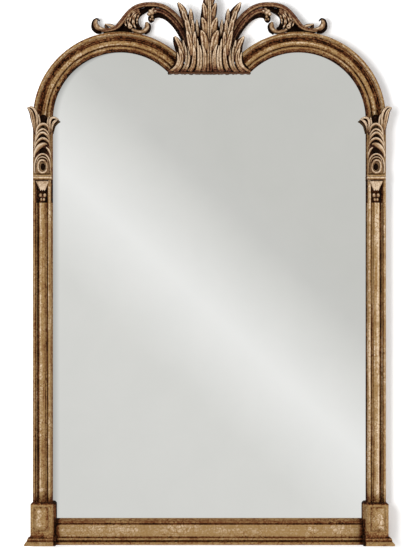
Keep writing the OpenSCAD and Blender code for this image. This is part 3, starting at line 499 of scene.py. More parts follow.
def gilding(name, relief_of, mottle=0.5, crackle=0.6, raw_back=True):
    """Aged gilding on one piece. relief_of(x, y, z) gives its relief from the place on the piece."""
    material, tree = new_material(name)
    finish = bpy.context.scene.gilt_finish
    carved = relief_of is carved_relief
    gold, brown = (finish.soft_gold, finish.rose) if carved else (finish.gold, finish.brown)
    place = own_place(tree)
    x, y, z = apart(tree, place)
    gilt = node_of(tree, "ShaderNodeGroup", {
        "Relief": relief_of(x, y, z), "Mottle": mottle, "Crackle": crackle,
        "Pale": finish.pale, "Gold": gold, "Brown": brown, "Dark": finish.dark,
    }, node_tree=aged_gilding_group()).outputs
    colour, metal = gilt["Color"], Value(tree, gilt["Metallic"])
    if raw_back or carved:
        if carved:
            behind = apart(tree, node_of(tree, "ShaderNodeTexCoord").outputs["Normal"])[1].ranged(0.3, 0.7)
        else:
            behind = y.ranged(*MOULDING_BACK)
        grain = noise(tree, place, 24, 6, 0.7, 0.5)
        wood = mix_colour(tree, grain, linear(122, 92, 58), linear(160, 126, 84))
        colour = mix_colour(tree, behind, colour, wood)
        metal = metal * (1.0 - behind)
    surface(tree, {
        "Base Color": colour, "Roughness": gilt["Roughness"], "Metallic": metal,
        "Specular IOR Level": gilt["Metallic"],
    }, gilt["Height"], 0.3, 0.0007)
    return material


# Levels across the mouldings: (share of the width or height, level), in hundredths
STILE_BANDS = (
    (0, 62), (6, 66), (9, 52), (11, 66), (20, 80), (22.5, 45), (24, 10), (26.2, 8), (28.5, 40), (34, 50),
    (50, 60), (56, 66), (60, 86), (63, 82), (65.5, 50), (69, 28), (73, 8), (77.5, 10), (79, 60), (82.5, 64),
    (84.5, 25), (87.5, 25), (89.5, 58), (96, 60), (100, 50),
)
ARCH_BANDS = (
    (0, 34), (5, 26), (13, 32), (16.5, 52), (18.5, 72), (24.5, 70), (27, 22), (30, 10), (32.5, 50), (36, 66),
    (42, 60), (50, 66), (53, 50), (56, 24), (60, 10), (64, 26), (70, 16), (76, 34), (80, 44), (83.5, 76),
    (90, 72), (93.5, 50), (97, 42), (100, 48),
)
RAIL_BANDS = (
    (0, 45), (2, 50), (10, 50), (12, 20), (17, 20), (18.5, 42), (21.5, 52), (25, 50), (26.2, 24), (30, 24),
    (33, 58), (55, 67), (74, 63), (76.5, 46), (77.5, 10), (80, 10), (82.5, 28), (85, 36), (90, 38), (96, 44),
    (100, 50),
)
BLOCK_BANDS = (
    (0, 55), (9, 60), (10, 20), (13, 28), (16, 54), (17.5, 20), (21.5, 30), (25, 40), (26.5, 50), (60, 58),
    (94, 60), (97, 16), (100, 10),
)
LEDGE_BANDS = (
    (0, 30), (18, 50), (35, 85), (62, 80), (68, 15), (78, 60), (100, 70),
)


def hairlines(width, first, second, amount):
    """Fine lines that run along a moulding, as a change of its level."""
    tree = width.tree
    place = node_of(tree, "ShaderNodeCombineXYZ", [width * 620, first * 9, second * 9]).outputs[0]
    return (noise(tree, place, 1, 2, 0.5) - 0.5) * amount


def stile_relief(x, y, z):
    """The stile's profile, its plain head and the dark pocket of the husk, with painted shade above the
    block and over the left stile, and painted light and shade on the inner sides.
    """
    width = abs(x)
    level = width.bands(*STILE_SPAN, STILE_BANDS) + hairlines(width, x, z, 0.9)
    head = z.ranged(*HEAD_SPAN)
    level = level * (1 - head) + head * 0.5
    # Painted shade: darker just above the block, and the left stile a little darker than the right
    level = level * z.ranged(0.081, 0.104, 0.5, 1.0) * x.ranged(*LEFT_TO_RIGHT, 0.92, 1.1)
    # Painted light and shade on the sides: the inner side light on the left stile and dark on the right one;
    # the outer sides a plain mid level
    painted_flank_shade = x.ranged(*LEFT_TO_RIGHT, 0.72, 0.15).at_least(width.ranged(0.3295, 0.3308, 0.0, 0.85))
    front = painted_flank_shade.at_least(y.ranged(-0.004, -0.0105))
    sunk = y.ranged(-0.0108, -0.0104) * z.ranged(*POCKET_SPAN) * (1 - head)
    return level * (front * (1 - sunk * 0.8))


def arch_relief(x, y, z):
    """The arch's profile, by the distance from its centre, and its darker sides."""
    side, rise = abs(x) - ARCH_X, z - SPRING_Z
    radius = (side * side + rise * rise).root()
    level = radius.bands(ARCH_RADIUS, ARCH_RADIUS + MOULDING_WIDTH, ARCH_BANDS)
    level = (level + hairlines(radius, x, z, 1.1)) * 0.9
    outside = radius.ranged(ARCH_RADIUS + 0.0355, ARCH_RADIUS + 0.0368, 0.3, 0.85)
    return level * outside.at_least(y.ranged(-0.002, -0.009))


def rail_relief(x, y, z):
    """The rail's profile, with painted shade where it meets the blocks."""
    level = z.bands(0.0, RAIL_TOP, RAIL_BANDS) + hairlines(z, x, y, 0.35)
    return level * abs(x).ranged(0.277, 0.286, 1.0, 0.3)


def block_relief(x, y, z):
    """The steps of block and foot, with painted shade on the side towards the glass and the rail: darker on
    the left block, towards the back and below the top of the rail.
    """
    level = z.bands(0.0, BLOCK_TOP, BLOCK_BANDS)
    # Painted shade on the side towards the glass
    painted_flank_shade = x.ranged(*LEFT_TO_RIGHT, 0.4, 0.85) * y.ranged(-0.006, -0.018, 0.1, 1.0)
    painted_flank_shade = painted_flank_shade * z.ranged(0.046, 0.052, 0.15, 1.0)
    return level * (painted_flank_shade.at_least(abs(x).ranged(0.2895, 0.2935)) * 0.94)


def panel_relief(x, y, z):
    """The raised panel, paler on its outer half and dark at its foot."""
    return abs(x).ranged(0.312, 0.319, 0.58, 0.74) * y.ranged(-0.0325, -0.0375, 0.6, 1.0)


def board_relief(x, y, z):
    """The backboard, dark but for its lower edge."""
    under = z.ranged(BOARD_LOW[2] + 0.0002, BOARD_LOW[2] + 0.0012, 0.3, 0.0)
    return under.at_least(y.ranged(-0.0145, -0.0135, 0.1, 0.0))


def ledge_relief(x, y, z):
    """The ledge's two rims with the cut between them."""
    return z.bands(*LEDGE_SPAN, LEDGE_BANDS)


def carved_relief(x, y, z):
    """The relief that is kept on the points of the carving."""
    return Value(x.tree, node_of(x.tree, "ShaderNodeAttribute", attribute_name="relief").outputs["Fac"])


def glass_material():
    """Silvered glass with a bare back, and a painted shadow beside the left sight edge."""
    material, tree = new_material("Silvered glass")
    place = own_place(tree)
    x, y, z = apart(tree, place)
    haze = noise(tree, place, 9, 5, 0.6, 0.3)
    colour = mix_colour(tree, haze, linear(229, 230, 228), linear(237, 237, 235))
    colour = mix_colour(tree, y.ranged(*GLASS_BACK), colour, linear(96, 112, 106))
    # Painted shadow: the glass darker within 14.5 mm of the sight edge of the left stile and the left half
    # of the left arch
    rise = (z - SPRING_Z).at_least(0.0)
    reach = (ARCH_RADIUS ** 2 - rise * rise).at_least(0.0).root()
    painted_shadow = (x + ARCH_X + reach).ranged(0.0, 0.0145, 0.34, 0.0)
    surface(tree, {
        "Base Color": mix_colour(tree, painted_shadow, colour, linear(10, 12, 16)),
        "Metallic": y.ranged(*GLASS_BACK, 1.0, 0.0), "Roughness": haze.ranged(0.3, 0.7, 0.015, 0.035),
    })
    return material


def board_material():
    """Brown hardboard with upright fibres."""
    material, tree = new_material("Brown backing board")
    place = own_place(tree)
    fibres = node_of(tree, "ShaderNodeMapping", {"Vector": place, "Scale": (1, 1, 0.25)}).outputs[0]
    fine = noise(tree, place, 700, 3, 0.7)
    colour = mix_colour(tree, noise(tree, fibres, 60, 8, 0.75), linear(112, 84, 56), linear(150, 118, 82))
    colour = mix_colour(tree, fine.ranged(0.4, 0.7, 0.0, 0.35), colour, linear(84, 62, 40))
    surface(tree, {"Base Color": colour, "Roughness": fine.ranged(0.3, 0.7, 0.72, 0.9)}, fine, 0.25, 0.0004)
    return material


def steel_material():
    """Zinc coated steel with a faint spangle."""
    material, tree = new_material("Zinc steel")
    place = own_place(tree)
    spangle = noise(tree, place, 180, 4, 0.6, 0.6)
    surface(tree, {
        "Base Color": mix_colour(tree, spangle, linear(160, 163, 168), linear(206, 208, 212)),
        "Metallic": 1.0, "Roughness": spangle.ranged(0.3, 0.7, 0.27, 0.42),
    }, noise(tree, place, 1500, 3, 0.6), 0.15, 0.0002)
    return material


def plain_material(name, first, second, scale, rough, depth):
    """A dull material between two tones, with a fine grain."""
    material, tree = new_material(name)
    grain = noise(tree, own_place(tree), scale, 6, 0.7, 0.4)
    inputs = {
        "Base Color": mix_colour(tree, grain, first, second),
        "Roughness": grain.ranged(0.3, 0.7, rough, rough + 0.12),
    }
    surface(tree, inputs, grain, 0.3, depth)
    return material


def dress(material, slot, *names):
    """Gives a material to solids that stay as they are."""
    for name in names:
        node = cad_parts[name]
        node.data.materials.clear()
        node.data.materials.append(material)


class GiltMouldings(bpy.types.Operator):
    """Gild the stiles, arches, rail, blocks, feet and ledges"""

    bl_idname = "gilt_mirror.mouldings"
    bl_label = "Gild Mouldings"

    def execute(self, context):
        dress(gilding("Gilt stile", stile_relief, 0.6, 0.5), "gilt_moulding", "left_stile", "right_stile")
        dress(gilding("Gilt arch", arch_relief, 0.75, 0.6), "gilt_moulding", "left_arch", "right_arch")
        dress(gilding("Gilt rail", rail_relief, 0.52, 0.5), "gilt_moulding", "base_rail")
        dress(gilding("Gilt block", block_relief, 0.7, 0.35), "gilt_plinth",
              "left_plinth_block", "right_plinth_block", "left_plinth_foot", "right_plinth_foot")
        dress(gilding("Gilt panel", panel_relief, 0.8, 0.55, raw_back=False), "gilt_plinth",
              "left_plinth_panel", "right_plinth_panel")
        dress(gilding("Dark backboard", board_relief, 0.2, 0.2), "gilt_moulding", "crest_backboard")
        dress(gilding("Gilt ledge", ledge_relief, 0.4, 0.4, raw_back=False), "gilt_moulding",
              "left_console_ledge", "right_console_ledge")
        return {"FINISHED"}


def centre_leaf(carving):
    """The tall leaf: four pairs of side lobes, a split rib and the tip."""
    deep = bpy.context.scene.carving_sizes.leaf_relief * 1000
    carving.bed([
        (0, 0, 21), (0, 9, 18.5), (-0.5, 28, 17), (-1, 60, 19), (-2, 88, 17), (-2.5, 108, 14.5),
        (-2.5, 130, 11), (-1.5, 152, 6), (0, 163, 0.8),
    ], deep - 7, 3)
    carving.lobes((
        (4 - deep, 9 - deep, [(-20.6, 66, 2.6), (-22.6, 80, 3.8), (-23.4, 90, 3.6), (-23.6, 98.5, 1)]),
        (-15, -13, [(-3.4, 122, 3.4), (-4.6, 135, 5), (-6.2, 145, 4.6), (-8.4, 153, 1)]),
        (-13, -10, [(-4.6, 96, 4), (-6.4, 108, 6.4), (-8.2, 117.5, 6), (-10.6, 124.6, 4), (-12.2, 129, 1)]),
        (-10, -7, [(-6, 68, 5), (-7.6, 81, 7.8), (-9.2, 90, 7.4), (-12, 97, 5), (-14, 101.5, 1.2)]),
        (-6, -3, [(-6.4, 38, 5), (-8.6, 51, 8.6), (-10, 62, 9), (-13, 71, 6.6), (-15.6, 77, 1.5)]),
        (-3, -6, [(-20.4, 0, 3.6), (-16.4, 10, 3.4), (-15, 24, 3.2), (-16, 38, 2.6), (-18.4, 50, 1)]),
        (-2, -2, [(-11.2, 0, 5), (-9.2, 10, 4.8), (-8.6, 22, 4.9), (-9, 34, 4.2), (-11.6, 44, 2.6),
            (-14.4, 51, 0.8)]),
    ), deep, mirrored=True)
    rib = [(-3, 0, 2.7), (-2.4, 16, 2.5), (-2.2, 40, 2.3), (-2, 80, 2.1), (-1.6, 118, 1.8), (-1.2, 146, 1.1)]
    carving.lobes([(-1, -14, rib)], deep, mirrored=True, rows=30, vein=0.2, tone=-0.12)
    carving.lobes([(-14, -12, [(0, 134, 3.2), (0, 149, 5), (0, 160, 3.6), (0, 166.5, 0.8)])], deep, rows=12)


def inner_leaf(carving):
    """The leaf beside the middle one, drawn on the left."""
    deep = bpy.context.scene.carving_sizes.leaf_relief * 1000
    bed = [
        (-37, 0, 13), (-31.5, 9, 11), (-29.5, 24, 9.6), (-31, 44, 10), (-34, 64, 10.6), (-37.5, 86, 9.6),
        (-43, 106, 8), (-51.5, 122, 5), (-57.6, 130.4, 1),
    ]
    carving.bed([(x + 2.6 * carving.sign * ease(20, 60, z), z, half) for x, z, half in bed], deep - 9, 2.5)
    carving.lobes((
        (-12, -9, [(34.4, 84, 3.4), (34.6, 97, 5), (34.8, 108, 4.6), (35, 118.5, 1.2)]),
        (-9, -7, [(31, 66, 3.2), (31.4, 78, 4.8), (31.4, 88, 4.2), (31.6, 97.5, 1)]),
        (-12, -9, [(43, 102, 4.2), (48, 113, 6.2), (53.6, 122.6, 5.2), (58.8, 130.4, 1.4)]),
        (-10, -8, [(39.6, 86, 4), (43.8, 98, 5.8), (48, 107.4, 4.8), (51.2, 114.6, 1.2)]),
        (-7, -6, [(36, 66, 4.2), (39.4, 79, 5.8), (42.6, 89.4, 5), (45.2, 97.4, 1.2)]),
        (-6, -5, [(27.4, 40, 3.6), (27.8, 54, 5), (27.8, 65, 4.4), (27.8, 75, 1.2)]),
        (-4, -7, [(32, 56, 2.2), (35.4, 74, 2.3), (39.4, 91, 2.1), (44, 105, 1.6), (48, 114, 0.8)]),
        (-6, -8, [(48, 0, 3.4), (41.6, 9, 3.2), (38.4, 21, 3), (38, 35, 2.9), (39.4, 45, 2.2),
            (41, 52, 0.8)]),
        (-3, -3, [(33, 30, 4), (34.4, 44, 5.8), (36.8, 56, 6.2), (39.8, 67, 5), (42.4, 77, 1.3)]),
        (-4, -6, [(25, 0, 3.2), (21.8, 10, 3), (20.4, 24, 3), (20.8, 40, 2.8), (22, 54, 2), (23, 62, 0.8)]),
        (-2, -4, [(37, 0, 5.4), (31.6, 9, 5), (29, 21, 5), (28.4, 33, 4.4), (29, 43, 3), (30, 50, 0.9)]),
    ), deep)


def outer_leaf(carving):
    """The low outer leaf, drawn on the left."""
    bed = [
        (-63, 0, 14), (-55, 8, 12), (-51, 20, 9.6), (-52, 34, 9.4), (-55, 48, 9.4), (-60, 60, 6.6),
        (-64, 67, 2),
    ]
    carving.bed([(x + 2 * carving.sign * ease(30, 50, z), z, half) for x, z, half in bed], 6.5, 4)
    carving.lobes((
        (8, 9, [(46.4, 32, 3), (46.8, 44, 3.8), (48, 53, 3), (49.4, 60, 0.9)]),
        (10, 10, [(48.6, 22, 4), (50.4, 37, 5.4), (54.6, 49, 6), (60, 59.4, 5), (65, 67, 1.6)]),
        (11, 10, [(53, 0, 3), (47, 8, 3), (43.6, 19, 3), (43, 32, 2.8), (44.4, 43, 2.2), (46, 50, 0.8)]),
        (12, 11, [(77.6, 0, 2.6), (68, 5, 3), (61, 12.6, 3.2), (58.4, 22, 2.8), (59, 31, 2),
            (60.4, 37, 0.8)]),
        (12.5, 12, [(66, 0, 5.6), (57.6, 8, 5.6), (53, 18.6, 5.8), (52.4, 29, 5.4), (54.4, 38, 3.8),
            (57, 44.6, 1)]),
    ))


class GiltPalmette(bpy.types.Operator):
    """Carve the five leaves of the crest"""

    bl_idname = "gilt_mirror.palmette"
    bl_label = "Carve Palmette"

    def execute(self, context):
        gilt = gilding("Gilt leaves", carved_relief, 0.75, 0.3)
        middle = Carving()
        centre_leaf(middle)
        middle.finish("centre_leaf_carved", gilt, "crest_centre_leaf")
        carve_sides(
            gilt, ("{}_inner_leaf", "crest_{}_inner_leaf", inner_leaf),
            ("{}_outer_leaf", "crest_{}_outer_leaf", outer_leaf),
        )
        return {"FINISHED"}


def strand_section(turn, share, ground=0.1):
    """A scroll strand: brown, with a rubbed line near each edge and a hollow between them."""
    sideways, forward = math.sin(turn), math.cos(turn)
    wide = math.copysign(abs(sideways) ** 0.75, sideways)
    high = math.copysign(abs(forward) ** 0.6, forward)
    if forward <= 0:
        return wide, high, 0.0
    hollow = 0.24 * bell_curve(wide, 0.26)
    lines = 0.34 * bell_curve(wide + 0.56, 0.14) + 0.46 * bell_curve(wide - 0.5, 0.16)
    return wide, high - hollow, (ground + 0.95 * lines) * (1 - ease(0.78, 0.95, abs(wide)))


def band_section(turn, share):
    """The outer strand, which keeps more of its gold."""
    return strand_section(turn, share, 0.22)


def round_section(turn, share):
    """A plain round strand, pale in patches where it stands highest, with a cut along it."""
    vein = 0.4 * bell_curve(math.sin(turn) - 0.3, 0.16)
    patch = 0.12 * math.cos(7 * math.pi * share + 3 * math.sin(turn))
    return math.sin(turn), math.cos(turn), (0.74 + patch - vein) * ease(0.35, 0.9, math.cos(turn))


def painted_shade_section(turn, share):
    """A sunk strand, all dark, as painted shade."""
    return math.sin(turn), math.cos(turn), 0.0


def scroll_arm(carving):
    """The inner strand, from the palmette over to the bud, and a dark strand under it as painted shade."""
    carving.tube([
        (-38, 930, -3, 4.6, 8), (-45, 948, -3, 4.8, 8.6), (-54, 966, 5), (-64, 980, 5), (-75, 991, 5),
        (-87, 999, 5), (-98, 1002, 5), (-106, 1001, 5.4),
    ], strand_section, rings=48, sides=20, y=-3, deep=8.8)
    carving.tube([
        (-44, 936, 4.6), (-51, 953, 5), (-60.5, 969, 5), (-71, 981.5, 5), (-82, 990, 5), (-93, 994, 5),
        (-103, 993, 5), (-110, 988, 4),
    ], painted_shade_section, rings=36, sides=12, y=1, deep=7)


def scroll_band(carving):
    """The outer strand, from the palmette over the bud and down to the arch, and out to the volute."""
    carving.tube([
        (-33, 944, -3, 4, 8.5), (-41, 960, -3, 4.4, 8.8), (-50.5, 977, 4.6), (-61, 990.5, 4.7),
        (-72.5, 1001, 4.7), (-85, 1008.8, 4.7), (-98, 1012.8, 4.6), (-112, 1013.6, 4.6), (-125, 1012.4, 4.7),
        (-137.5, 1008.4, 5), (-148, 1001, 5.2), (-157, 991, 5.4), (-165.2, 980.2, 5.4), (-173.6, 971.2, 4.8),
        (-184, 966.6, 4.2), (-195, 964.6, 3.6), (-203, 964.4, -2, 2.4, 8),
    ], band_section, rings=110, sides=20, y=-3, deep=9)
    carving.tube([
        (-190, 966.6, -2, 1.6, 7), (-199, 967.2, -3, 3, 8), (-207, 968.4, -4, 5, 8.4),
        (-212.4, 973.4, -4, 5.4, 8.4), (-213.6, 980, -4, 4.2, 8), (-211, 985.4, -3, 2.2, 7),
    ], round_section, rings=30, sides=16)
    # Painted shade: dark strands around the volute, and under the band where it meets the arch
    carving.tube([
        (-202, 962.6, 3), (-211, 963.4, 4), (-217.6, 969.4, 4), (-219, 977, 3.2), (-216.6, 984.4, 2.6),
        (-210.6, 987.4, 1, 2, 6), (-206, 983.4, 1, 1.2, 6),
    ], painted_shade_section, rings=30, sides=12, y=1, deep=7)
    carving.tube([
        (-199, 961.4, 2), (-187, 962.4, 3), (-176, 965, 4), (-164, 970, 5),
    ], painted_shade_section, rings=14, sides=12, y=2, deep=6)
    carving.finger([
        (-174, 969, 2), (-182, 973, 3), (-190, 975, 2.4), (-196, 976.6, 0.6),
    ], (3, 5), back=-6, rows=10)
    carving.finger([
        (-186, 966, 3), (-193, 970, 3), (-196.4, 975.6, 0.8),
    ], (1, 2), back=-2, rows=8, tone=-0.5)


def scroll_bud(carving):
    """The knotted end of the arm, with a dark hook of painted shade that curls in under it."""
    for x, z, y, size in (
        (-105, 1003.4, -6, 4.4), (-110.4, 1000.6, -7, 4.4), (-113, 995.4, -7, 4), (-107.4, 997.4, -8.4, 4.4),
        (-101.4, 1000.4, -7, 4),
    ):
        carving.ball((x, y, z), (size, size * 1.1, size * 0.95), 0.85)
    carving.tube([
        (-105, 995, -3, 6, 7), (-108.4, 989.6, -3, 6.8, 7), (-108.6, 984.6, -3, 6.4, 6.4),
        (-106.6, 980.6, -2, 3.4, 5),
    ], painted_shade_section, rings=14, sides=14)
    for x, z, size in ((-107.4, 990, 2.6), (-110.4, 985.4, 2), (-105.6, 984.6, 1.8)):
        carving.ball((x, -9.4, z), (size, 2.6, size * 1.2), 0.75)


def scroll_leaf(carving):
    """The leaf that hangs inside the band and rolls over the arch into a curl."""
    # Painted shade: dark strands behind the leaf and under the band
    carving.tube([
        (-126, 1006, 2, 3, 5), (-138, 1000, 2, 7, 5.4), (-146, 991, 10), (-151, 979, 13), (-154, 969, 15),
        (-154, 962, 2, 15, 5),
    ], painted_shade_section, rings=26, sides=14, y=2, deep=5.6)
    carving.tube([
        (-99, 1007.4, 2, 2.6, 5), (-112, 1006.4, 2, 3.8, 5), (-123, 1002.6, 2, 5.6, 5.4),
        (-132, 998.4, 2, 7, 5.6), (-138, 990, 2, 6.4, 5.6), (-138, 979, 2, 5.6, 6), (-133, 970, 1, 5, 6.4),
        (-126, 969, 1, 2.4, 5),
    ], painted_shade_section, rings=30, sides=14)
    for path, heights in (
        ([(-131, 1004, 2.6), (-141, 1000, 4.2), (-148, 991.4, 5), (-151.4, 981, 4.6), (-149.6, 973, 2.6)],
            (5, 8)),
        ([(-137, 1004.4, 1.8), (-149, 998, 2.6), (-156, 989, 2.8), (-158, 979.6, 2.4), (-155.6, 972, 1.4)],
            (4.4, 5.6)),
        ([(-131, 1001, 2), (-138.4, 994.6, 3.4), (-142.6, 985.6, 3.8), (-142, 976.6, 3), (-138, 969, 1.2)],
            (4.4, 7)),
        ([(-129.4, 998, 1.4), (-133.8, 991.6, 2.2), (-135.8, 984, 2.2), (-135.8, 976.6, 0.8)], (2, 3.4)),
        ([(-144, 1000, 1.4), (-151, 992, 2), (-153.6, 984, 1.8), (-152, 977, 0.8)], (7, 9)),
    ):
        carving.finger(
            path, heights, back=-4, rows=30, splay=0.3, base=0.6, tone=-0.2, streak=0.2, knots=3.5
        )
    carving.ball((-148.6, -11.4, 971.4), (4.6, 3.6, 4.6), 1.0)
    carving.ball((-148.6, -14.4, 971.4), (1.8, 1.4, 1.8), 0.4)
    carving.tube([
        (-146, 967.6, -3, 3.4, 8), (-138, 963.4, -3, 4, 8.4), (-129.6, 961.8, 4.2), (-121.6, 964.4, 4.6),
        (-117, 970.8, 5), (-117.4, 977.4, -4, 4.4, 8), (-120, 980.4, -3, 1.4, 6),
    ], round_section, rings=40, sides=18, y=-4, deep=8.6)
    # Painted shade beside the curl
    carving.tube([
        (-122, 959.6, 3), (-114.6, 964.6, 3.2), (-111.8, 972.4, 2.8), (-114, 979.6, 1, 2, 6),
    ], painted_shade_section, rings=20, sides=12, y=1, deep=7)


class GiltScrolls(bpy.types.Operator):
    """Carve the pierced scrolls over the arches"""

    bl_idname = "gilt_mirror.scrolls"
    bl_label = "Carve Scrolls"

    def execute(self, context):
        gilt = gilding("Gilt scrolls", carved_relief, 0.55, 0.3)
        carve_sides(
            gilt, ("{}_scroll_arm", "{}_scroll_arm", scroll_arm),
            ("{}_scroll_band", "{}_scroll_band", scroll_band),
            ("{}_scroll_bud", "{}_scroll_bud", scroll_bud),
            ("{}_scroll_leaf", "{}_scroll_leaf", scroll_leaf),
        )
        return {"FINISHED"}


def console_reach(rise):
    """How far the console stands in front of the glass at a height over its ledge."""
    share = min(max(rise / CONSOLE_HEIGHT, 0.0), 1.0)
    return 21 + 12 * math.sin(math.pi / 2 * share) ** 1.5


def console_rim(carving, points, width, proud, rows=20):
    """A rim that crosses the console, along (x from the middle, z)."""

    def place(u, v):
        turn = 2 * math.pi * u
        x, z, wide = along(points, v)
        half = width / 2 * wide
        y = -(console_reach(z) - 0.026 * x * x) - proud * math.cos(turn) * min(wide, 1)
        # Painted light: each rim paler on one side than on the other
        lit = 0.5 + 0.48 * ease(-0.4, 0.3, math.sin(turn))
        relief = lit * ease(0.1, 0.5, math.cos(turn)) * (1 - 0.3 * ease(0.5, 1.0, v))
        spot = Vector((STILE_X + x, y, LEDGE_TOP + z)) + across(points, v) * (half * math.sin(turn))
        return spot, relief

    carving.close(carving.bent_grid(10, rows, place))


def console_scroll(carving):
    """The body, the rims that cross it, the ring with its eye, and the dark gaps between them; the eye and
    the gaps are painted shade.
    """

    def body(u, v):
        turn = math.pi * (u - 0.5)
        half = 15.5 - 1.5 * v
        y = -12 - (console_reach(90 * v) - 15.5) * max(math.cos(turn), 0) ** 0.5
        relief = 0.12 + 0.26 * ease(0.72, 0.95, abs(math.sin(turn))) + 0.4 * (1 - ease(0.26, 0.34, v))
        return Vector((STILE_X + half * math.sin(turn), y, LEDGE_TOP + 90 * v)), relief

    carving.close(carving.bent_grid(14, 20, body), dist=0.001)
    for points, width, proud in (
        ([(-11.6, 74, 0.4), (-9.6, 84, 0.8), (-6, 91, 1), (1, 95, 1.1), (8, 93, 1), (11.6, 87, 0.7),
            (12.6, 80, 0.3)], 5.4, 2.8),
        ([(-13, 64, 0.4), (-11, 74, 0.8), (-5, 82.4, 1), (2, 85.4, 1), (8, 82, 0.9), (12, 75, 0.7),
            (13.6, 67, 0.3)], 4.2, 2.6),
        ([(-14.6, 55, 0.4), (-12, 65, 0.8), (-6, 75.4, 1), (1, 79, 1.1), (7, 76, 1), (12, 69, 0.8),
            (14.2, 60, 0.3)], 5, 3),
        ([(-14.8, 48, 0.4), (-12, 57, 0.8), (-6, 65, 1), (1, 68.4, 1.1), (8, 66, 1), (13, 60, 0.8),
            (14.8, 52, 0.3)], 5.2, 3),
        ([(-15.4, 33, 0.4), (-13.6, 42, 1), (-8, 50.6, 1.6), (-1, 56, 1.7), (6, 58, 0.9), (9, 57, 0.3)],
            6, 3.6),
        ([(7, 52, 0.4), (11, 48, 0.9), (14, 41, 0.9), (15, 33, 0.4)], 4.8, 2.8),
        ([(-13.6, 3, 0.6), (-14.6, 14, 0.9), (-13, 27, 1), (-7, 36.6, 1), (1, 39.6, 1.1), (8.6, 36, 1),
            (13, 27, 1), (14.4, 14, 0.9), (13.4, 3, 0.6)], 3.8, 2.6),
        ([(-11, 22, 0.4), (-7.6, 30.6, 0.9), (0, 34, 1), (7.6, 31, 0.9), (11, 23.6, 0.4)], 2.8, 2),
    ):
        console_rim(carving, points, width, proud)
    ring = [
        (6.4, 26.4, 0.5), (1, 28.8, 0.8), (-5, 27, 1), (-8.4, 20.6, 1.1), (-8.6, 13, 1.2), (-5.6, 6.6, 1.2),
        (0.6, 4.4, 1.2), (6.4, 7.4, 1.1), (8.8, 14, 1), (8, 21.4, 0.9), (4.6, 26, 0.7), (0, 27.8, 0.4),
    ]
    console_rim(carving, ring, 4.6, 3.6, rows=56)
    # Painted shade: dark knobs between the rims and in the eye of the ring
    for x, z, half, high, sunk in ((1, 72, 5.4, 4.6, 4.4), (2, 46.4, 7, 5, 4.6), (0.8, 16.4, 4.6, 6.8, 4.4)):
        carving.ball((STILE_X + x, sunk - console_reach(z), LEDGE_TOP + z), (half, 6, high), 0.0)
    # Painted shade in the hollow between the tips of the leaf
    carving.tube([
        (STILE_X + 1.5, 787, -20, 4, 4), (STILE_X + 1.5, 794, -20, 7, 5), (STILE_X + 1.5, 801, -18, 6.6, 4),
        (STILE_X + 1.5, 806, -17, 3, 3),
    ], painted_shade_section, rings=12, sides=12)


def console_leaf(carving):
    """Two horned tips, over the outer edge and over the glass, and the strands that rise into them."""
    for path, heights in (
        ([(-13, 768, 3), (-15, 785, 4.4), (-17.6, 799, 5.4), (-20.6, 810, 4.6), (-25.6, 817, 2.6),
            (-28.4, 817.6, 1)], (10, 17)),
        ([(-9, 776, 2.4), (-9.6, 790, 3.2), (-9.8, 802, 3.4), (-13, 812, 3.2), (-19, 818.4, 2.4),
            (-25, 819, 1)], (12, 19)),
        ([(-4.6, 776, 1.6), (-4.4, 788, 2.2), (-5.4, 798, 2), (-7, 805.6, 0.8)], (14, 17)),
        ([(13, 768, 2.4), (13.6, 780, 3), (13.4, 790, 3.4), (15.6, 797, 3.4), (21, 799.4, 2.6),
            (29, 797.4, 1)], (11, 19)),
        ([(17, 772, 1.8), (17.6, 782, 2.8), (20.6, 790, 3.6), (26, 795, 2.8), (31.4, 796.2, 1)], (8, 15)),
        ([(9.6, 778, 1.4), (9.6, 787, 2), (10.6, 795, 1.8), (12, 800, 0.8)], (14, 17)),
    ):
        path_here = [(STILE_X + x, z, half) for x, z, half in path]
        carving.finger(path_here, heights, back=CONSOLE_BACK, rows=20, curl=2, splay=0.2, base=0.4)


def husk_drop(carving):
    """A bell with a lobed lip and two pairs of petals under it."""
    top = LEDGE_LOW[2] * 1000

    def bell(u, v):
        t = 2 * u - 1
        half = 14.6 - 9.4 * v ** 0.85
        lip = 1.3 * v * math.cos(3 * math.pi * t) * (1 if abs(t) < 0.95 else 0)
        high = 16 - 4 * v - 5 * t * t + 0.5 * math.cos(3 * math.pi * t) * v
        relief = 0.72 + 0.2 * v - 0.5 * ease(0.86, 1, abs(t))
        return Vector((STILE_X + half * t, -11 - high + 4, top - 1.5 - 18.5 * v - lip)), relief

    carving.back_up(carving.bent_grid(18, 10, bell), POCKET_GROUND)
    for side_sign in (-1, 1):
        for x, z, size in ((4, 655, 3.1), (2.5, 647, 2.4)):
            carving.ball((STILE_X + side_sign * x, -13, z), (size, size, size * 1.3), 0.8)
            low = (STILE_X + side_sign * x * 0.35, -12, z - size * 0.9)
            carving.ball(low, (size * 0.5, size * 0.8, size * 0.8), 0.3)


class GiltConsoles(bpy.types.Operator):
    """Carve the consoles on the stiles and the husks under them"""

    bl_idname = "gilt_mirror.consoles"
    bl_label = "Carve Consoles"

    def execute(self, context):
        gilt = gilding("Gilt consoles", carved_relief, 0.5, 0.2)
        carve_sides(
            gilt, ("{}_console", "{}_console_scroll", console_scroll),
            ("{}_console_leaf", "{}_console_leaf", console_leaf), ("{}_husk", "{}_husk_drop", husk_drop),
        )
        return {"FINISHED"}


class GiltGlass(bpy.types.Operator):
    """Silver the glass"""

    bl_idname = "gilt_mirror.glass"
    bl_label = "Silver Glass"

    def execute(self, context):
        dress(glass_material(), "mirror_glass", "mirror_glass")
        return {"FINISHED"}


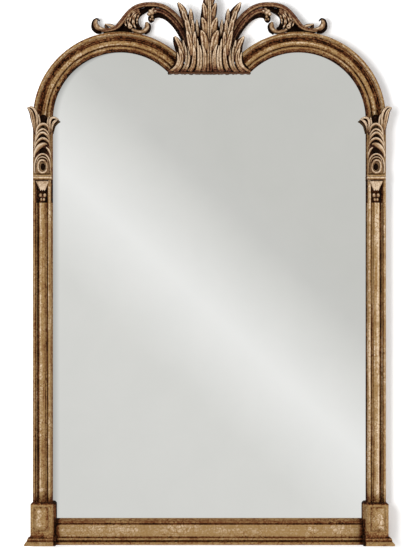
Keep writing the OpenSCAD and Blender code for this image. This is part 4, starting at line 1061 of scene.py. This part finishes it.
class GiltBack(bpy.types.Operator):
    """Finish the back: board, points, dowels, screws, straps, rings and bumpers"""

    bl_idname = "gilt_mirror.back"
    bl_label = "Finish Back"

    def execute(self, context):
        dress(board_material(), "backing_board", "backing_board")
        dress(plain_material("Dowel wood", linear(176, 140, 96), linear(202, 170, 126), 70, 0.6, 0.0003),
              "bare_wood", "frame_dowels", "crest_dowels")
        dress(steel_material(), "zinc_steel", "retaining_points", "crest_screws", "hanger_screws",
              "left_hanger_strap", "right_hanger_strap", "left_hanger_ring", "right_hanger_ring")
        dress(plain_material("Bumper rubber", linear(34, 34, 35), linear(48, 48, 49), 420, 0.7, 0.0002),
              "bumper_rubber", "wall_bumpers")
        return {"FINISHED"}


def sheet(name, size, matrix, material):
    """A flat square of the stage."""
    bm = bmesh.new()
    bmesh.ops.create_grid(bm, x_segments=1, y_segments=1, size=size, matrix=matrix)
    plane = shown(name, bm, material)
    return plane


def pale_material(name, glow):
    """White that keeps shadows, lifted so that it is plain white elsewhere, and clear from behind."""
    material, tree = new_material(name)
    surface(tree, {"Base Color": (0.9, 0.9, 0.9, 1), "Roughness": 1.0, "Specular IOR Level": 0.0})
    lift = node_of(tree, "ShaderNodeEmission", {"Strength": glow})
    lit = node_of(tree, "ShaderNodeAddShader", [tree.nodes["Principled BSDF"].outputs[0], lift.outputs[0]])
    from_behind = node_of(tree, "ShaderNodeNewGeometry").outputs["Backfacing"]
    clear = node_of(tree, "ShaderNodeBsdfTransparent")
    choice = node_of(tree, "ShaderNodeMixShader", [from_behind, lit.outputs[0], clear.outputs[0]])
    tree.links.new(choice.outputs[0], tree.nodes["Material Output"].inputs["Surface"])
    return material


def set_wall():
    """The wall behind the mirror, which only the camera sees."""
    upright = Matrix.Translation((0, WALL_Y, 0.5)) @ Matrix.Rotation(math.pi / 2, 4, "X")
    wall = sheet("wall", 6, upright, pale_material("White wall", 0.2))
    for kind in ("diffuse", "glossy", "transmission", "volume_scatter", "shadow"):
        setattr(wall, f"visible_{kind}", False)
    return wall


def set_floor():
    """A pale floor far below, out of the picture."""
    floor = sheet("floor", 8, Matrix.Translation((0, 0, FLOOR_Z)), pale_material("Pale floor", 0.42))
    floor.visible_glossy = False


def light_room(fill):
    """Even light, a white ground for the camera, and for the glass a pale room with a slanting band."""
    world = bpy.data.worlds.new("Room")
    bpy.context.scene.world = world
    world.use_nodes = True
    tree = world.node_tree
    x, _, z = apart(tree, node_of(tree, "ShaderNodeTexCoord").outputs["Generated"])
    stops = (
        (0.0, (223, 223, 221)), (0.42, (233, 233, 231)), (0.5, (255, 255, 255)), (0.566, (231, 231, 229)),
        (0.594, (218, 218, 216)), (0.63, (215, 215, 212)),
    )
    slant = (x + z * 1.06).ranged(-0.273, 0.305, smooth=False)
    room = slant.ramp([(spot, linear(*tone)) for spot, tone in stops])
    ray = node_of(tree, "ShaderNodeLightPath").outputs
    mirrored = Value(tree, ray["Is Glossy Ray"]).at_least(ray["Is Transmission Ray"])
    colour = mix_colour(tree, mirrored, (fill, fill, fill, 1), room)
    colour = mix_colour(tree, ray["Is Camera Ray"], colour, (1, 1, 1, 1))
    feed(tree, tree.nodes["Background"].inputs["Color"], colour)


def hang_lamps(power, wall):
    """Two lamps for the mirror, and one for the wall alone, which throws the shadow to the right."""
    for name, spot, size, share, state in (
        ("Key", (-1.2, -2.0, 2.1), 0.8, 0.78, "EXCLUDE"), ("Side", (2.4, -2.0, 0.8), 1.2, 1.0, "EXCLUDE"),
        ("Wall", (-1.0, -2.0, 0.55), 1.3, 1.6, "INCLUDE"),
    ):
        data = bpy.data.lights.new(name, "AREA")
        data.shape = "DISK"
        data.size = size
        data.energy = power * share
        lamp = placed(name, data)
        lamp.location = spot
        lamp.rotation_euler = (LAMP_AIM - Vector(spot)).to_track_quat("-Z", "Y").to_euler()
        lamp.visible_glossy = False
        lit = bpy.data.collections.new(f"{name}_lit")
        lit.objects.link(wall)
        lit.collection_objects[0].light_linking.link_state = state
        lamp.light_linking.receiver_collection = lit


def set_camera(studio):
    """A camera square to the wall, shifted so that the mirror lies in the picture as in the photograph."""
    data = bpy.data.cameras.new("Camera")
    camera = placed("Camera", data)
    camera.location = (studio.side, -studio.distance, studio.height)
    camera.rotation_euler = (math.pi / 2, 0, 0)
    seen = PICTURE_HEIGHT * PIXEL
    data.sensor_fit = "VERTICAL"
    data.sensor_height = SENSOR
    data.lens = SENSOR * studio.distance / seen
    data.shift_x = ((PICTURE_WIDTH / 2 - MIDDLE_COLUMN) * PIXEL - studio.side) / seen
    data.shift_y = ((FOOT_ROW - PICTURE_HEIGHT / 2) * PIXEL - studio.height) / seen
    bpy.context.scene.camera = camera


class GiltStudio(bpy.types.Operator):
    """Set up the wall, the floor, the lamps and the camera"""

    bl_idname = "gilt_mirror.studio"
    bl_label = "Set Up Studio"

    def execute(self, context):
        studio = context.scene.studio_settings
        wall = set_wall()
        set_floor()
        light_room(studio.fill)
        hang_lamps(studio.key_power, wall)
        set_camera(studio)
        context.scene.view_settings.view_transform = "Standard"
        return {"FINISHED"}


class GiltMirrorPanel(bpy.types.Panel):
    """Lists the steps and the settings of the mirror"""

    bl_idname = "VIEW3D_PT_gilt_mirror"
    bl_label = "Gilt Wall Mirror"
    bl_space_type = "VIEW_3D"
    bl_region_type = "UI"
    bl_category = "Mirror"

    def draw(self, context):
        """A box for each group of settings, and a button for each step"""
        layout = self.layout
        scene = context.scene
        for settings in (scene.gilt_finish, scene.carving_sizes, scene.studio_settings):
            box = layout.box()
            for name in settings.__annotations__:
                box.prop(settings, name)
        for step in STEPS:
            layout.operator(step.bl_idname)


STEPS = (GiltMouldings, GiltPalmette, GiltScrolls, GiltConsoles, GiltGlass, GiltBack, GiltStudio)
CLASSES = (GiltFinish, CarvingSizes, StudioSettings, *STEPS, GiltMirrorPanel)


def register():
    """Adds the classes and the settings of the scene."""
    for each in CLASSES:
        bpy.utils.register_class(each)
    bpy.types.Scene.gilt_finish = PointerProperty(type=GiltFinish)
    bpy.types.Scene.carving_sizes = PointerProperty(type=CarvingSizes)
    bpy.types.Scene.studio_settings = PointerProperty(type=StudioSettings)


def unregister():
    """Takes away what register adds."""
    del bpy.types.Scene.studio_settings
    del bpy.types.Scene.carving_sizes
    del bpy.types.Scene.gilt_finish
    for each in reversed(CLASSES):
        bpy.utils.unregister_class(each)


def main():
    """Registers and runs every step."""
    register()
    for step in STEPS:
        group, name = step.bl_idname.split(".")
        getattr(getattr(bpy.ops, group), name)()


if __name__ == "__main__":
    main()
